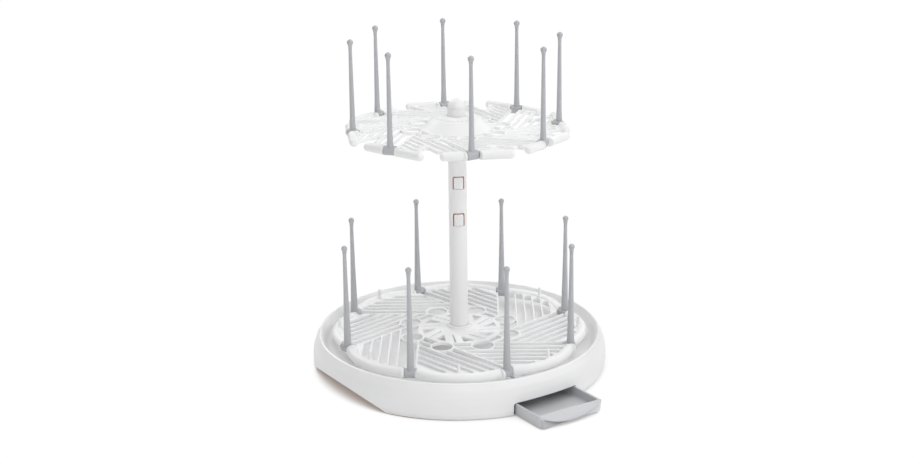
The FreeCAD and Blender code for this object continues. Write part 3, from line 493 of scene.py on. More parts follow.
def tube(name, path, radius, segments, rounded=False):
    """A round bar along a path, with hemispherical ends or flat ones with a small chamfer."""
    cap_steps, chamfer = 7, 0.35
    spine = [Vector(p) for p in path]

    def ring(centre, along, reach):
        side = along.cross(Vector((0, 0, 1)))
        side.normalize()
        upward = side.cross(along)
        angles = [2 * math.pi * s / segments for s in range(segments)]
        return [centre + side * (reach * math.cos(a)) + upward * (reach * math.sin(a))
                for a in angles]

    def tangent(i):
        return (spine[min(i + 1, len(spine) - 1)] - spine[max(i - 1, 0)]).normalized()

    start, end = spine[0], spine[-1]
    first, last = tangent(0), tangent(len(spine) - 1)
    if rounded:
        angles = [math.pi / 2 * j / cap_steps for j in range(1, cap_steps)]
        rows = [ring(start - first * (radius * math.cos(a)), first, radius * math.sin(a))
                for a in angles]
        rows += [ring(p, tangent(i), radius) for i, p in enumerate(spine)]
        rows += [ring(end + last * (radius * math.cos(a)), last, radius * math.sin(a))
                 for a in reversed(angles)]
        start, end = start - first * radius, end + last * radius
    else:
        rows = [ring(start, first, radius - chamfer),
                ring(start + first * (chamfer * 0.3), first, radius - chamfer * 0.3)]
        spine[0] = start + first * chamfer
        rows += [ring(p, tangent(i), radius) for i, p in enumerate(spine[:-1])]
        rows += [ring(end - last * chamfer, last, radius),
                 ring(end - last * (chamfer * 0.3), last, radius - chamfer * 0.3),
                 ring(end, last, radius - chamfer)]
    verts, bases, faces = [start], [], []
    for row in rows:
        bases.append(len(verts))
        verts += row
    verts.append(end)
    tip = len(verts) - 1
    for s in range(segments):
        t = (s + 1) % segments
        faces.append((0, bases[0] + t, bases[0] + s))
        for a, b in zip(bases[:-1], bases[1:]):
            faces.append((a + s, a + t, b + t, b + s))
        faces.append((bases[-1] + s, bases[-1] + t, tip))
    return new_object(name, [tuple(v) for v in verts], faces)


# --------------------------------------------------------------- shader nodes
# socket numbers of a colour Mix node
FACTOR, COLOR_A, COLOR_B, COLOR_OUT = 0, 6, 7, 2


def feed(tree, target, inputs):
    """Sets a node's inputs, each to a value or to the output that drives it."""
    for key, value in inputs.items():
        if isinstance(value, bpy.types.NodeSocket):
            tree.links.new(value, target.inputs[key])
        else:
            target.inputs[key].default_value = value


def node(tree, kind, inputs=None, **settings):
    made = tree.nodes.new("ShaderNode" + kind)
    for key, value in settings.items():
        setattr(made, key, value)
    feed(tree, made, inputs or {})
    return made


def noise(tree, coords, scale, detail=2.0):
    made = node(tree, "TexNoise", {"Vector": coords, "Scale": scale, "Detail": detail})
    return made.outputs["Fac"]


def map_range(tree, value, start, end, low=0.0, high=1.0, curve="LINEAR"):
    made = node(tree, "MapRange", {"Value": value, "From Min": start, "From Max": end,
                                   "To Min": low, "To Max": high}, interpolation_type=curve)
    return made.outputs[0]


def calculate(tree, operation, a, b):
    return node(tree, "Math", {0: a, 1: b}, operation=operation).outputs[0]


def mix_color(tree, factor, a, b, blend="MIX"):
    made = node(tree, "Mix", data_type="RGBA", blend_type=blend)
    feed(tree, made, {FACTOR: factor, COLOR_A: a, COLOR_B: b})
    return made.outputs[COLOR_OUT]


def tinted(tree, tone, mask, color):
    return mix_color(tree, mask, tone, (*color, 1), blend="MULTIPLY")


def split(tree, coords):
    return node(tree, "SeparateXYZ", {0: coords}).outputs


def openness(tree, reach, samples):
    """Ambient occlusion within reach: 1 in the open, 0 in a closed hollow."""
    return node(tree, "AmbientOcclusion", {"Distance": reach}, samples=samples).outputs["AO"]


def blank_material(name):
    material = bpy.data.materials.new(name)
    material.use_nodes = True
    material.node_tree.nodes.clear()
    return material, material.node_tree


# ------------------------------------------------------------------ materials
def shade_crevices(tree, shader, coords, tone, crevice_shade, fade, right_hollow_glow, glow):
    """Paints shade into hollows from ambient occlusion, and paints a little light into some of
    them.
    """
    opened = openness(tree, crevice_shade["reach"], samples=6)
    hollow = map_range(tree, opened, *crevice_shade["span"], low=1.0, high=0.0)
    mask = hollow
    if fade:
        # the painted shade eases off toward +X
        place = split(tree, coords)
        kept = map_range(tree, place["X"], fade["start"], fade["end"], low=1.0, high=fade["rest"])
        mask = calculate(tree, "MULTIPLY", hollow, kept)
        if right_hollow_glow:
            # painted light: where the painted shade has eased off, hollows above this height glow a
            # little
            eased = calculate(tree, "SUBTRACT", hollow, mask)
            share = calculate(tree, "MULTIPLY", eased, right_hollow_glow)
            height = map_range(tree, place["Z"], 0.0176, 0.0190)
            feed(tree, shader, {"Emission Color": (1.0, 0.995, 0.985, 1),
                                "Emission Strength": calculate(tree, "MULTIPLY", share, height)})
    # painted light: deep hollows glow in the glow colour
    if glow:
        deep = map_range(tree, opened, 0.12, 0.42, low=1.0, high=0.0)
        feed(tree, shader, {"Emission Color": (*glow, 1), "Emission Strength": deep})
    return tinted(tree, tone, mask, crevice_shade["color"])


def shade_upper_gaps(tree, coords, tone, gaps):
    """Paints shade into narrow gaps, fading in between two heights."""
    opened = openness(tree, gaps["reach"], samples=6)
    hollow = map_range(tree, opened, *gaps["span"], low=1.0, high=0.0)
    height = map_range(tree, split(tree, coords)["Z"], *gaps["heights"])
    return tinted(tree, tone, calculate(tree, "MULTIPLY", hollow, height), gaps["color"])


def plastic(name, color, rough=0.36, grain=0.05, vary=0.02, specular=0.5, metallic=0.0,
            crevice_shade=None, fade=None, right_hollow_glow=0.0, glow=None, upper_gap_shade=None, right_flank_shade=None):
    """Moulded resin. Lengths are in metres.

    painted crevice shade: its colour, AO reach and the AO span over which it goes from full to none
    fade: x from start to end over which the painted crevice shade drops to its rest
    right hollow glow: painted light in faded hollows; glow: painted light, the emission colour of
    deep hollows
    upper gap shade: painted shade like the crevice shade, between two heights; right flank shade:
    painted shade toward +X
    """
    material, tree = blank_material(name)
    shader = node(tree, "BsdfPrincipled", {"Specular IOR Level": specular, "IOR": 1.49,
                                           "Metallic": metallic})
    node(tree, "OutputMaterial", {"Surface": shader.outputs[0]})
    coords = node(tree, "TexCoord").outputs["Object"]

    # slow drift of tone
    darker = tuple(c * (1 - vary) for c in color)
    lighter = tuple(c * (1 + vary) for c in color)
    drift = noise(tree, coords, scale=22.0, detail=4.0)
    tone = mix_color(tree, drift, (*darker, 1), (*lighter, 1))
    if crevice_shade:
        tone = shade_crevices(tree, shader, coords, tone, crevice_shade, fade, right_hollow_glow, glow)
    if upper_gap_shade:
        tone = shade_upper_gaps(tree, coords, tone, upper_gap_shade)
    # painted shade: the base gets darker toward +X
    if right_flank_shade:
        mask = map_range(tree, split(tree, coords)["X"], right_flank_shade["start"],
                         right_flank_shade["end"], curve="SMOOTHSTEP")
        tone = tinted(tree, tone, mask, right_flank_shade["color"])

    # roughness in soft patches
    patches = noise(tree, coords, scale=90.0, detail=3.0)
    roughness = map_range(tree, patches, 0.0, 1.0, low=rough - 0.05, high=rough + 0.06)
    # fine spark-eroded grain, then the faint flow waviness of a moulded face
    fine = node(tree, "Bump", {"Strength": grain, "Distance": 0.00012,
                               "Height": noise(tree, coords, scale=3200.0, detail=2.0)})
    waves = node(tree, "Bump", {"Strength": 0.05, "Distance": 0.0006,
                                "Height": noise(tree, coords, scale=45.0, detail=1.0),
                                "Normal": fine.outputs["Normal"]})
    feed(tree, shader, {"Base Color": tone, "Roughness": roughness,
                        "Normal": waves.outputs["Normal"]})
    return material


# every crevice tint below is painted shade in hollows, from ambient occlusion
BASE_WHITE = plastic(
    "base_white", color=(0.88, 0.88, 0.885), rough=0.36,
    crevice_shade=dict(color=(0.76, 0.74, 0.73), reach=0.028, span=(0.04, 0.46)),
    fade=dict(start=-0.085, end=0.06, rest=0.12), right_hollow_glow=0.20,
    right_flank_shade=dict(color=(0.90, 0.90, 0.90), start=0.085, end=0.138),
    # painted shade: a brown line in the gap below the rim's crest
    upper_gap_shade=dict(color=(0.46, 0.33, 0.26), reach=0.0095, span=(0.42, 0.86),
                    heights=(0.0235, 0.0275)))
TRAY_WHITE = plastic(
    "tray_white", color=(0.90, 0.90, 0.905), rough=0.42,
    crevice_shade=dict(color=(0.80, 0.785, 0.775), reach=0.005, span=(0.0, 0.34)),
    fade=dict(start=-0.05, end=0.10, rest=0.3))
POST_WHITE = plastic(
    "post_white", color=(0.90, 0.90, 0.905), rough=0.36,
    crevice_shade=dict(color=(0.44, 0.27, 0.20), reach=0.007, span=(0.05, 0.5)),
    glow=(0.34, 0.165, 0.11))
# painted shade with a painted warm glow, for the inside of the white post
POST_BORE_SHADE = plastic(
    "post_bore_shade", color=(0.60, 0.31, 0.22), rough=0.5,
    crevice_shade=dict(color=(0.55, 0.36, 0.28), reach=0.020, span=(0.0, 0.9)),
    glow=(0.29, 0.115, 0.065))
PEG_GREY = plastic(
    "peg_grey", color=(0.485, 0.495, 0.515), rough=0.36, vary=0.03,
    crevice_shade=dict(color=(0.45, 0.45, 0.46), reach=0.004, span=(0.02, 0.42)))
DRAWER_GREY = plastic(
    "drawer_grey", color=(0.61, 0.62, 0.64), rough=0.40, vary=0.025,
    crevice_shade=dict(color=(0.07, 0.075, 0.085), reach=0.030, span=(0.0, 0.54)))
# darker and lighter copies of the drawer grey: painted shade and painted light under the lip
DRAWER_SHADED = plastic("drawer_shaded", color=(0.47, 0.48, 0.50), rough=0.42, vary=0.025)
DRAWER_LIT = plastic("drawer_lit", color=(0.72, 0.73, 0.75), rough=0.40, vary=0.025)
GLIDE_RING = plastic("glide_ring", color=(0.78, 0.78, 0.76), rough=0.3)
FOOT_RUBBER = plastic("foot_rubber", color=(0.16, 0.16, 0.165), rough=0.75, grain=0.3,
                      specular=0.3)
ZINC_STEEL = plastic("zinc_steel", color=(0.62, 0.62, 0.63), rough=0.28, grain=0.15,
                     metallic=1.0)


def settle(obj, body, slot, *pieces):
    """Ties a finished object to its body and hides the CAD pieces it replaces."""
    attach(obj, body)
    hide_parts(*pieces)


# ------------------------------------------------------------------ base shell
# (radius, z, corner radius) from the underside out, over the rim, across the basin, to the hub
SHELL_PROFILE = [
    (0.0, 0.6), (141.2, 0.6), (142.1, 1.2, 0.6), (143.3, 5.5, 6), (143.3, 14.5, 12),
    (142.55, 21.0, 16), (140.6, 27.2, 12), (136.95, 33.45, 1.3), (135.2, 33.9, 0.9),
    (132.6, 28.6, 3), (129.4, 22.0, 5), (124.5, 20.5, 6), (60.0, 18.1, 8), (30.5, 16.6, 7),
    (20.5, 20.0, 5), (17.4, 25.9, 1.0), (9.84, 25.9), (9.84, 33.0, 0.3), (0.0, 33.0),
]
# (radius, z, corner radius) of the hollow under the basin
CAVITY_PROFILE = [
    (14.0, -1.0), (139.4, -1.0), (140.9, 5.0, 6), (140.9, 14.5, 12), (138.5, 25.0, 6),
    (136.2, 30.2, 1.0), (134.8, 30.2, 1.0), (132.9, 23.2, 3), (130.0, 19.0, 4),
    (127.0, 18.4, 3), (30.5, 14.4, 3), (14.0, 14.4),
]
# two slanted undercuts, opposite each other
GRIP_AZIMUTHS = (-145.6, -145.6 + 180.0)
GRIP_FOOT = 125.0  # distance from the axis at which the slant meets z = 0
GRIP_SLOPE = 0.92
GRIP_WALL = 3.5
GRIP_BELOW, GRIP_REACH, GRIP_HALF = -8.0, 40.0, 170.0

MOUTH_HALF = DRAWER_HALF + 1.8
MOUTH_CORNER = 2.6
MOUTH_BOTTOM, MOUTH_TOP = 1.5, 13.25  # the top is taken at the corners
MOUTH_CROWN = 1.2  # rise of the top edge in the middle
MOUTH_START, MOUTH_END = 118.0, 152.0

FLOOR_SLOT_PITCH = 11.0
FLOOR_SLOT_ENDS = (103.0, 106.0, 107.0, 106.0, 103.0)  # outer ends, from -Y to +Y before turning
FLOOR_SLOT_LENGTH, FLOOR_SLOT_HALF = 12.0, 1.6


def grip_wedge(name, azimuth, foot):
    """The undercut's waste: everything outside a slanted plane."""
    angle = math.radians(azimuth)
    outward = Vector((math.cos(angle), math.sin(angle), 0))
    sideways = Vector((-math.sin(angle), math.cos(angle), 0))
    section = [(foot + GRIP_BELOW, GRIP_BELOW * GRIP_SLOPE),
               (foot + GRIP_REACH, GRIP_REACH * GRIP_SLOPE),
               (foot + GRIP_REACH, GRIP_BELOW * GRIP_SLOPE)]
    verts = []
    for k in (-1, 1):
        for distance, z in section:
            point = outward * distance + sideways * (k * GRIP_HALF)
            verts.append((point.x, point.y, z))
    return new_object(name, verts, [(0, 1, 2), (5, 4, 3), (0, 3, 4, 1), (1, 4, 5, 2), (2, 5, 3, 0)])


def cut_grips(obj, foot):
    for i, azimuth in enumerate(GRIP_AZIMUTHS):
        boolean(obj, grip_wedge("wedge%d" % i, azimuth, foot))


def mouth_outline():
    """The drawer's opening as (lateral, height), with a crowned top edge."""
    side, corner = MOUTH_HALF, MOUTH_CORNER
    straight = side - corner
    centre_z = MOUTH_TOP - corner
    loop = fillet([(-side, 6.0), (-side, MOUTH_BOTTOM, corner), (side, MOUTH_BOTTOM, corner),
                   (side, 6.0)], steps=6)[1:-1]
    loop += arc(straight, centre_z, corner, 0, math.pi / 2, 6)[:-1]
    loop += [(-straight + 2 * straight * i / 16,
              MOUTH_TOP + MOUTH_CROWN * (1 - (i / 8.0 - 1) ** 2)) for i in range(16, -1, -1)]
    loop += arc(-straight, centre_z, corner, math.pi / 2, math.pi, 6)[1:]
    return loop


def build_shell():
    shell = lathe("base_shell_body", fillet(SHELL_PROFILE, steps=7), 288, BASE_WHITE)
    cut_grips(shell, GRIP_FOOT)
    cavity = lathe("cavity", fillet(CAVITY_PROFILE, steps=4), 144)
    cut_grips(cavity, GRIP_FOOT - GRIP_WALL)
    boolean(shell, cavity)
    boolean(shell, radial_block("mouth", mouth_outline(), MOUTH_START, MOUTH_END, DRAWER_AZIMUTH))
    # five slots through the basin floor, above the drawer
    for i, end in enumerate(FLOOR_SLOT_ENDS):
        lateral = FLOOR_SLOT_PITCH * (i - 2)
        outline = rounded_box(end - FLOOR_SLOT_LENGTH, end, lateral - FLOOR_SLOT_HALF,
                              lateral + FLOOR_SLOT_HALF, radius=1.5, steps=4)
        boolean(shell, spun(block("floor_slot%d" % i, outline, 10.0, 26.0), DRAWER_AZIMUTH))
    # the socket that takes the post
    boolean(shell, lathe("socket", [(0.0, 6.0), (8.8, 6.0), (8.8, 36.0), (0.0, 36.0)], 96))
    settle(shell, "base", "white_plastic", "base_shell")


def build_runners():
    """Two rails under the basin that guide the drawer."""
    rails = []
    for sign in (-1, 1):
        near, far = sign * (DRAWER_HALF + 0.8), sign * (DRAWER_HALF + 2.6)
        outline = rounded_box(40.0, 135.0, min(near, far), max(near, far), radius=0.3, steps=2)
        rails.append(spun(prism("rail", [outline], 2.7, 17.0, 0.2, steps=2), DRAWER_AZIMUTH))
    runners = join_parts("drawer_guides", rails, BASE_WHITE)
    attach(runners, "base")


def paint_cad_pieces():
    """Materials for the CAD pieces that stay as they are."""
    for name, material in (("bottom_plate", BASE_WHITE), ("rubber_feet", FOOT_RUBBER),
                           ("base_screws", ZINC_STEEL), ("post_screw", ZINC_STEEL),
                           ("lower_bearing_ring", GLIDE_RING),
                           ("upper_bearing_ring", GLIDE_RING)):
        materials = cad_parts[name].data.materials
        materials.clear()
        materials.append(material)


# ------------------------------------------------------------------------ post
POST_TOP = 254.85
TAB_TOP, TAB_HEIGHT, TAB_PITCH = 226.4, 12.8, 36.5
TAB_AZIMUTH = -83.0
WINDOW_HALF, WINDOW_CORNER = 5.5, 1.8
TAB_HALF, TAB_CORNER = 4.5, 1.5
TAB_CUT = (3.0, 13.0)  # radial reach of the tab cutters
HOLLOW_RADIUS, HOLLOW_FROM = 0.0086, 0.135  # metres
DOME_RADIUS, DOME_CENTRE = 8.78, 255.07


def build_post():
    profile = fillet([(1.9, 6.02), (8.0, 6.02), (POST_OUTER, 6.8, 0.3), (POST_OUTER, POST_TOP),
                      (POST_INNER, POST_TOP), (POST_INNER, 11.0), (1.9, 11.0)], steps=3)
    post = lathe("post_body", profile, 128, POST_WHITE)
    tabs = []
    for i in range(3):
        top = TAB_TOP - TAB_PITCH * i
        bottom = top - TAB_HEIGHT
        window = arch(WINDOW_HALF, bottom, top, WINDOW_CORNER)
        boolean(post, radial_block("window%d" % i, window, *TAB_CUT, TAB_AZIMUTH))
        name = "tab_piece_%d" % (i + 1)
        tab = lathe(name, [(POST_INNER, bottom + 0.02), (POST_OUTER, bottom + 0.02),
                           (POST_OUTER, top), (POST_INNER, top)], 128, POST_WHITE)
        shape = arch(TAB_HALF, bottom + 0.35, top - 1.0, TAB_CORNER)
        boolean(tab, radial_block("tab_shape%d" % i, shape, *TAB_CUT, TAB_AZIMUTH), "INTERSECT")
        body = "height_tab_%d" % (i + 1)
        settle(tab, body, "white_plastic", body)
        tabs.append(tab)
    settle(post, "base", "white_plastic", "post_tube")
    # painted shade and painted warm glow on the bore of the tube and the cut edges of the tab
    # windows
    for obj in [post] + tabs:
        obj.data.materials.append(POST_BORE_SHADE)
        for face in obj.data.polygons:
            x, y, z = face.center
            if math.hypot(x, y) < HOLLOW_RADIUS and z > HOLLOW_FROM:
                face.material_index = len(obj.data.materials) - 1


def build_dome():
    """The round cap of the post, with a plug that reaches into the bore."""
    profile = [(0.0, 247.9), (6.9, 247.9), (6.9, 254.86), (8.7, 254.86)]
    profile += [(DOME_RADIUS * math.cos(a), DOME_CENTRE + DOME_RADIUS * math.sin(a))
                for a in [math.radians(88 * i / 20) for i in range(21)]]
    profile.append((0.0, DOME_CENTRE + DOME_RADIUS))
    dome = lathe("post_dome", profile, 96, POST_WHITE)
    settle(dome, "base", "white_plastic", "post_cap")


# ------------------------------------------------------ collar and lock ring
# (radius, z, corner radius)
SLEEVE_PROFILE = [
    (8.83, 226.45), (19.2, 226.45, 0.6), (20.0, 227.3, 0.5), (20.0, 229.0, 0.4), (13.0, 229.0),
    (13.0, 245.5), (11.0, 245.5), (11.0, 247.6, 0.3), (9.4, 247.6, 0.3), (8.83, 247.0),
]
LOCK_RING_PROFILE = [
    (11.03, 245.55), (14.0, 245.55), (15.0, 245.43), (19.2, 245.43), (19.15, 245.75, 0.25),
    (17.6, 246.9, 0.6), (14.6, 247.75, 0.6), (11.03, 247.75, 0.3),
]
SCALLOPS = 28
SCALLOP_DEPTH = 0.75
SCALLOP_FROM = 17.0  # only the rim beyond this radius is scalloped


def scallop(radius, angle):
    if radius < SCALLOP_FROM:
        return radius
    return radius - SCALLOP_DEPTH * max(0.0, math.cos(SCALLOPS * angle)) ** 3


def build_carriage():
    sleeve = lathe("carriage_sleeve", fillet(SLEEVE_PROFILE, steps=3), 128, TRAY_WHITE)
    settle(sleeve, "height_carriage", "tray_plastic", "height_collar")
    ring = lathe("lock_ring_body", fillet(LOCK_RING_PROFILE, closed=True, steps=4),
                 SCALLOPS * 14, TRAY_WHITE, wobble=scallop)
    settle(ring, "height_carriage", "tray_plastic", "collar_lock_ring")


# ----------------------------------------------------------------------- trays
# Each tray repeats one bay eight times. The bay is drawn with its hinge half a turn step
# to the left of the front, its axle along X, and the whole tray is turned at the end.
BAYS = 8
STEP = 45.0
HALF_STEP_SIN = math.sin(math.radians(22.5))
HALF_STEP_COS = math.cos(math.radians(22.5))
HINGE_HALF = 6.0  # half the opening that a peg's clip sits in

Hinge = namedtuple("Hinge", "radius height turn tube")
LOWER_HINGE = Hinge(radius=115.0, height=31.2, turn=-0.52, tube=5.0)
UPPER_HINGE = Hinge(radius=98.0, height=234.4, turn=30.0, tube=4.1)


def hinge_point(hinge):
    return (-hinge.radius * HALF_STEP_SIN, -hinge.radius * HALF_STEP_COS)


def eight(loop):
    return [Outline(turn(loop, STEP * k)) for k in range(BAYS)]


def slot_loop(left, right, low, lean):
    """A slot along Y with a round front end; its far end follows the line y = x + lean."""
    radius = (right - left) / 2
    centre_y = low + radius
    front = arc(left + radius, centre_y, radius, math.pi, 2 * math.pi, 7)
    far = fillet([(right, centre_y), (right, right + lean, 0.7), (left, left + lean, 0.7),
                  (left, centre_y)], steps=3)[1:-1]
    return front + far


def slot_row(right, pitch, rib, lean, end_radius, ends):
    """Slots side by side toward -X.

    ends holds each slot's lowest y, or None where it ends on the circle of end_radius.
    """
    slots = []
    for low in ends:
        left = right - (pitch - rib)
        if low is None:
            low = -math.sqrt(end_radius ** 2 - (left + (right - left) / 2) ** 2)
        slots += eight(slot_loop(left, right, low, lean))
        right = left - rib
    return slots


def channel_loop(hinge, half, lean):
    """The open channel that runs inward from a hinge."""
    x, y = hinge_point(hinge)
    left, right = x - half, x + half
    return [(left, y - 8.0), (right, y - 8.0), (right, right + lean), (left, left + lean)]


def window_loop(hinge):
    """The opening in the rim around a hinge."""
    x, y = hinge_point(hinge)
    return rounded_box(x - HINGE_HALF, x + HINGE_HALF, y - 14.0, y + 7.2, radius=0.8, steps=3)


def hinge_parts(hinge):
    """Two cheeks and an axle for every bay."""
    cheek, axle_overlap, axle_radius = 2.4, 1.6, 2.08
    x, y = hinge_point(hinge)
    left, right = x - HINGE_HALF, x + HINGE_HALF
    bars = [(left - cheek, left, hinge.tube, 28), (right, right + cheek, hinge.tube, 28),
            (left - axle_overlap, right + axle_overlap, axle_radius, 20)]
    return [spun(tube("hinge_bar", [(start, y, hinge.height), (end, y, hinge.height)],
                      radius, segments), STEP * k)
            for k in range(BAYS) for start, end, radius, segments in bars]


# --- lower tray
LOWER_CHANNEL_HALF = 3.8
LOWER_RIB, LOWER_PITCH = 1.9, 8.7
LOWER_EYE = (-45.2, -22.8)  # centre of the round hole in each bay
PETAL_CENTRE, PETAL_RADIUS = (1.5365, -54.4496), 65.568
PIN_REACH = 117.0  # distance of the pins from the axis
# (radius, z, corner radius)
LOWER_HUB_PROFILE = [
    (9.9, 27.05), (20.0, 27.05, 0.3), (20.0, 33.7, 0.3), (19.2, 34.05, 1.0), (14.2, 34.7, 2.5),
    (11.9, 36.4, 1.5), (11.9, 38.3, 0.6), (9.05, 38.3, 0.3), (9.05, 33.6), (9.9, 33.6),
]
PIN_PROFILE = [
    (0.0, 31.7), (2.5, 31.7), (2.5, 35.7, 0.3), (1.6, 36.1, 0.5), (1.3, 43.3, 0.4),
    (0.9, 44.3, 0.5), (0.0, 44.6),
]


def petal_arc():
    """The bowed rim of one bay, from hinge to hinge."""
    def bearing(point):
        return math.atan2(point[1] - PETAL_CENTRE[1], point[0] - PETAL_CENTRE[0])

    return arc(*PETAL_CENTRE, PETAL_RADIUS, bearing(from_front(113.5, -19.3)),
               bearing(from_front(115.5, 19.0)), 40)


def slit_loop():
    """A slanting slit beside the hub."""
    start, end = Vector(from_front(18.3, -21.5)), Vector(from_front(38.6, -4.5))
    along = (end - start).normalized()
    side = Vector((-along.y, along.x)) * 0.8
    corners = (start + side, start - side, end - side, end + side)
    return fillet([(*corner, 0.7) for corner in corners], closed=True, steps=3)


def lower_plate():
    first = hinge_point(LOWER_HINGE)[0]
    lean = (-first - LOWER_CHANNEL_HALF - LOWER_RIB) * math.sqrt(2)
    disc = Outline(circle(0, 0, 110.6, 240))
    core = Outline(circle(0, 0, 12.0, 64))
    petals = eight(petal_arc())
    slots = slot_row(first - LOWER_CHANNEL_HALF - LOWER_RIB, LOWER_PITCH, LOWER_RIB, lean,
                     end_radius=113.0, ends=(None,) * 5)
    slots += eight(slit_loop())
    slots += eight(fillet([(*from_front(22.3, 4.3), 0.6), (*from_front(36.6, 7.1), 1.0),
                           (*from_front(36.8, 24.7), 0.6)], closed=True, steps=3))
    rings = eight(circle(*LOWER_EYE, 11.8, 48))
    holes = eight(circle(*LOWER_EYE, 9.8, 48))
    channels = eight(channel_loop(LOWER_HINGE, LOWER_CHANNEL_HALF, lean))
    windows = eight(window_loop(LOWER_HINGE))
    loops = region_loops(
        [disc, core] + petals + slots + rings + holes + channels + windows,
        [(windows + holes + [core], False), (rings, True), (slots + channels, False),
         ([disc] + petals, True)])
    return prism("low_plate", loops, 30.6, 33.75, 0.6)


def build_lower_tray():
    parts = [lower_plate(),
             lathe("low_hub", fillet(LOWER_HUB_PROFILE, closed=True, steps=4), 128)]
    rim = [(x, y, LOWER_HINGE.height) for x, y in petal_arc()]
    for k in range(BAYS):
        parts.append(spun(tube("petal", rim, LOWER_HINGE.tube, 32), STEP * k))
        pin = lathe("pin", fillet(PIN_PROFILE, steps=4), 24)
        pin.data.transform(Matrix.Translation(Vector((0, -PIN_REACH * MM, 0))))
        parts.append(spun(pin, STEP * k))
    parts += hinge_parts(LOWER_HINGE)
    tray = spun(join_parts("lower_tray_body", parts, TRAY_WHITE), LOWER_HINGE.turn)
    settle(tray, "lower_tray", "tray_plastic", "lower_tray")


# --- upper tray
UPPER_CHANNEL_HALF = 3.6
UPPER_RIB, UPPER_PITCH = 1.7, 7.4
UPPER_EYE = (-38.2, -19.4)
CONE_RADIUS = 33.3
# straight rim bars, drawn across the hinge side and turned back by half a step
RIM_LEFT, RIM_RIGHT, RIM_FRONT, RIM_BACK = -24.5, 34.5, -99.6, -83.0
RIM_TURN = -STEP / 2
# (x, y, corner radius) of the bite out of the plate beside each hinge
NOTCH = [(-58.9, -52.0, 1.2), (-61.6, -49.2, 2.0), (-64.6, -50.2, 2.0), (-92.0, -96.0),
         (-64.0, -102.0), (-60.2, -78.0)]
# (radius, z, corner radius)
CONE_PROFILE = [
    (13.07, 229.6), (16.0, 229.6, 0.3), (16.0, 242.9), (21.4, 242.9, 1.0), (30.1, 235.0, 1.0),
    (30.1, 229.6), (CONE_RADIUS, 229.6, 0.3), (CONE_RADIUS, 236.05, 0.4), (32.3, 236.5, 1.2),
    (22.8, 244.9, 1.6), (20.6, 245.4, 0.6), (13.07, 245.4),
]


def upper_plate():
    first = hinge_point(UPPER_HINGE)[0]
    lean = (-first - UPPER_CHANNEL_HALF - UPPER_RIB) * math.sqrt(2)
    disc = Outline(circle(0, 0, 91.0, 200))
    core = Outline(circle(0, 0, 30.8, 96))
    cone = Outline(circle(0, 0, CONE_RADIUS, 120))
    arms = eight(turn([(RIM_LEFT, RIM_FRONT), (RIM_RIGHT, RIM_FRONT), (RIM_RIGHT, RIM_BACK),
                       (RIM_LEFT, RIM_BACK)], RIM_TURN))
    slots = slot_row(first - UPPER_CHANNEL_HALF - UPPER_RIB, UPPER_PITCH, UPPER_RIB, lean,
                     end_radius=92.0, ends=(None, None, -43.0, -48.0, -61.0, -54.0))
    rings = eight(circle(*UPPER_EYE, 10.3, 44))
    holes = eight(circle(*UPPER_EYE, 8.4, 44))
    channels = eight(channel_loop(UPPER_HINGE, UPPER_CHANNEL_HALF, lean))
    windows = eight(window_loop(UPPER_HINGE))
    notches = eight(fillet(NOTCH, closed=True, steps=4))
    loops = region_loops(
        [disc, core, cone] + arms + slots + rings + holes + channels + windows + notches,
        [(windows + holes + [core] + notches, False), (rings, True), (channels, False),
         ([cone], True), (slots, False), ([disc] + arms, True)])
    return prism("up_plate", loops, 232.8, 236.0, 0.55)


def upper_rim():
    """Eight straight round bars with gaps at the hinges."""
    start, end = turn([(RIM_LEFT, RIM_FRONT), (RIM_RIGHT, RIM_FRONT)], RIM_TURN)
    steps = 10
    path = [(start[0] + (end[0] - start[0]) * i / steps,
             start[1] + (end[1] - start[1]) * i / steps, UPPER_HINGE.height)
            for i in range(steps + 1)]
    bars = [spun(tube("bar", path, UPPER_HINGE.tube, 32, rounded=True), STEP * k)
            for k in range(BAYS)]
    gaps = [spun(block("gap", window_loop(UPPER_HINGE), 222.0, 246.0), STEP * k)
            for k in range(BAYS)]
    return boolean(join_parts("bars", bars), join_parts("bar_gaps", gaps))


def build_upper_tray():
    parts = [upper_plate(), lathe("up_cone", fillet(CONE_PROFILE, closed=True, steps=4), 160),
             upper_rim()]
    parts += hinge_parts(UPPER_HINGE)
    tray = spun(join_parts("upper_tray_body", parts, TRAY_WHITE), UPPER_HINGE.turn)
    settle(tray, "upper_tray", "tray_plastic", "upper_tray")


# ------------------------------------------------------------------------ pegs
# Heights are above the hinge's axle, which is the mesh's X axis.
Peg = namedtuple("Peg", "ball_height foot_radius waist_radius waist_height neck_radius")
LOWER_PEG = Peg(ball_height=99.8, foot_radius=3.5, waist_radius=2.25, waist_height=58.0,
                neck_radius=1.75)
UPPER_PEG = Peg(ball_height=85.9, foot_radius=2.9, waist_radius=2.45, waist_height=15.0,
                neck_radius=1.6)
BALL_RADIUS = 2.9
SHAFT_START = 5.0
CLIP_OUTER, CLIP_INNER = 4.3, 2.15
CLIP_MOUTH_HALF = 1.65
# (y, z, corner radius) of two blocks on the +Y side of the clip
CLIP_BAR = [(2.3, 0.5, 0.2), (5.3, 0.5, 0.7), (5.3, 3.3, 0.9), (2.3, 3.3, 0.2)]
CLIP_JAW = [(1.8, -5.1, 0.4), (4.0, -5.1, 0.7), (4.0, -1.4, 0.3), (1.8, -1.4, 0.1)]


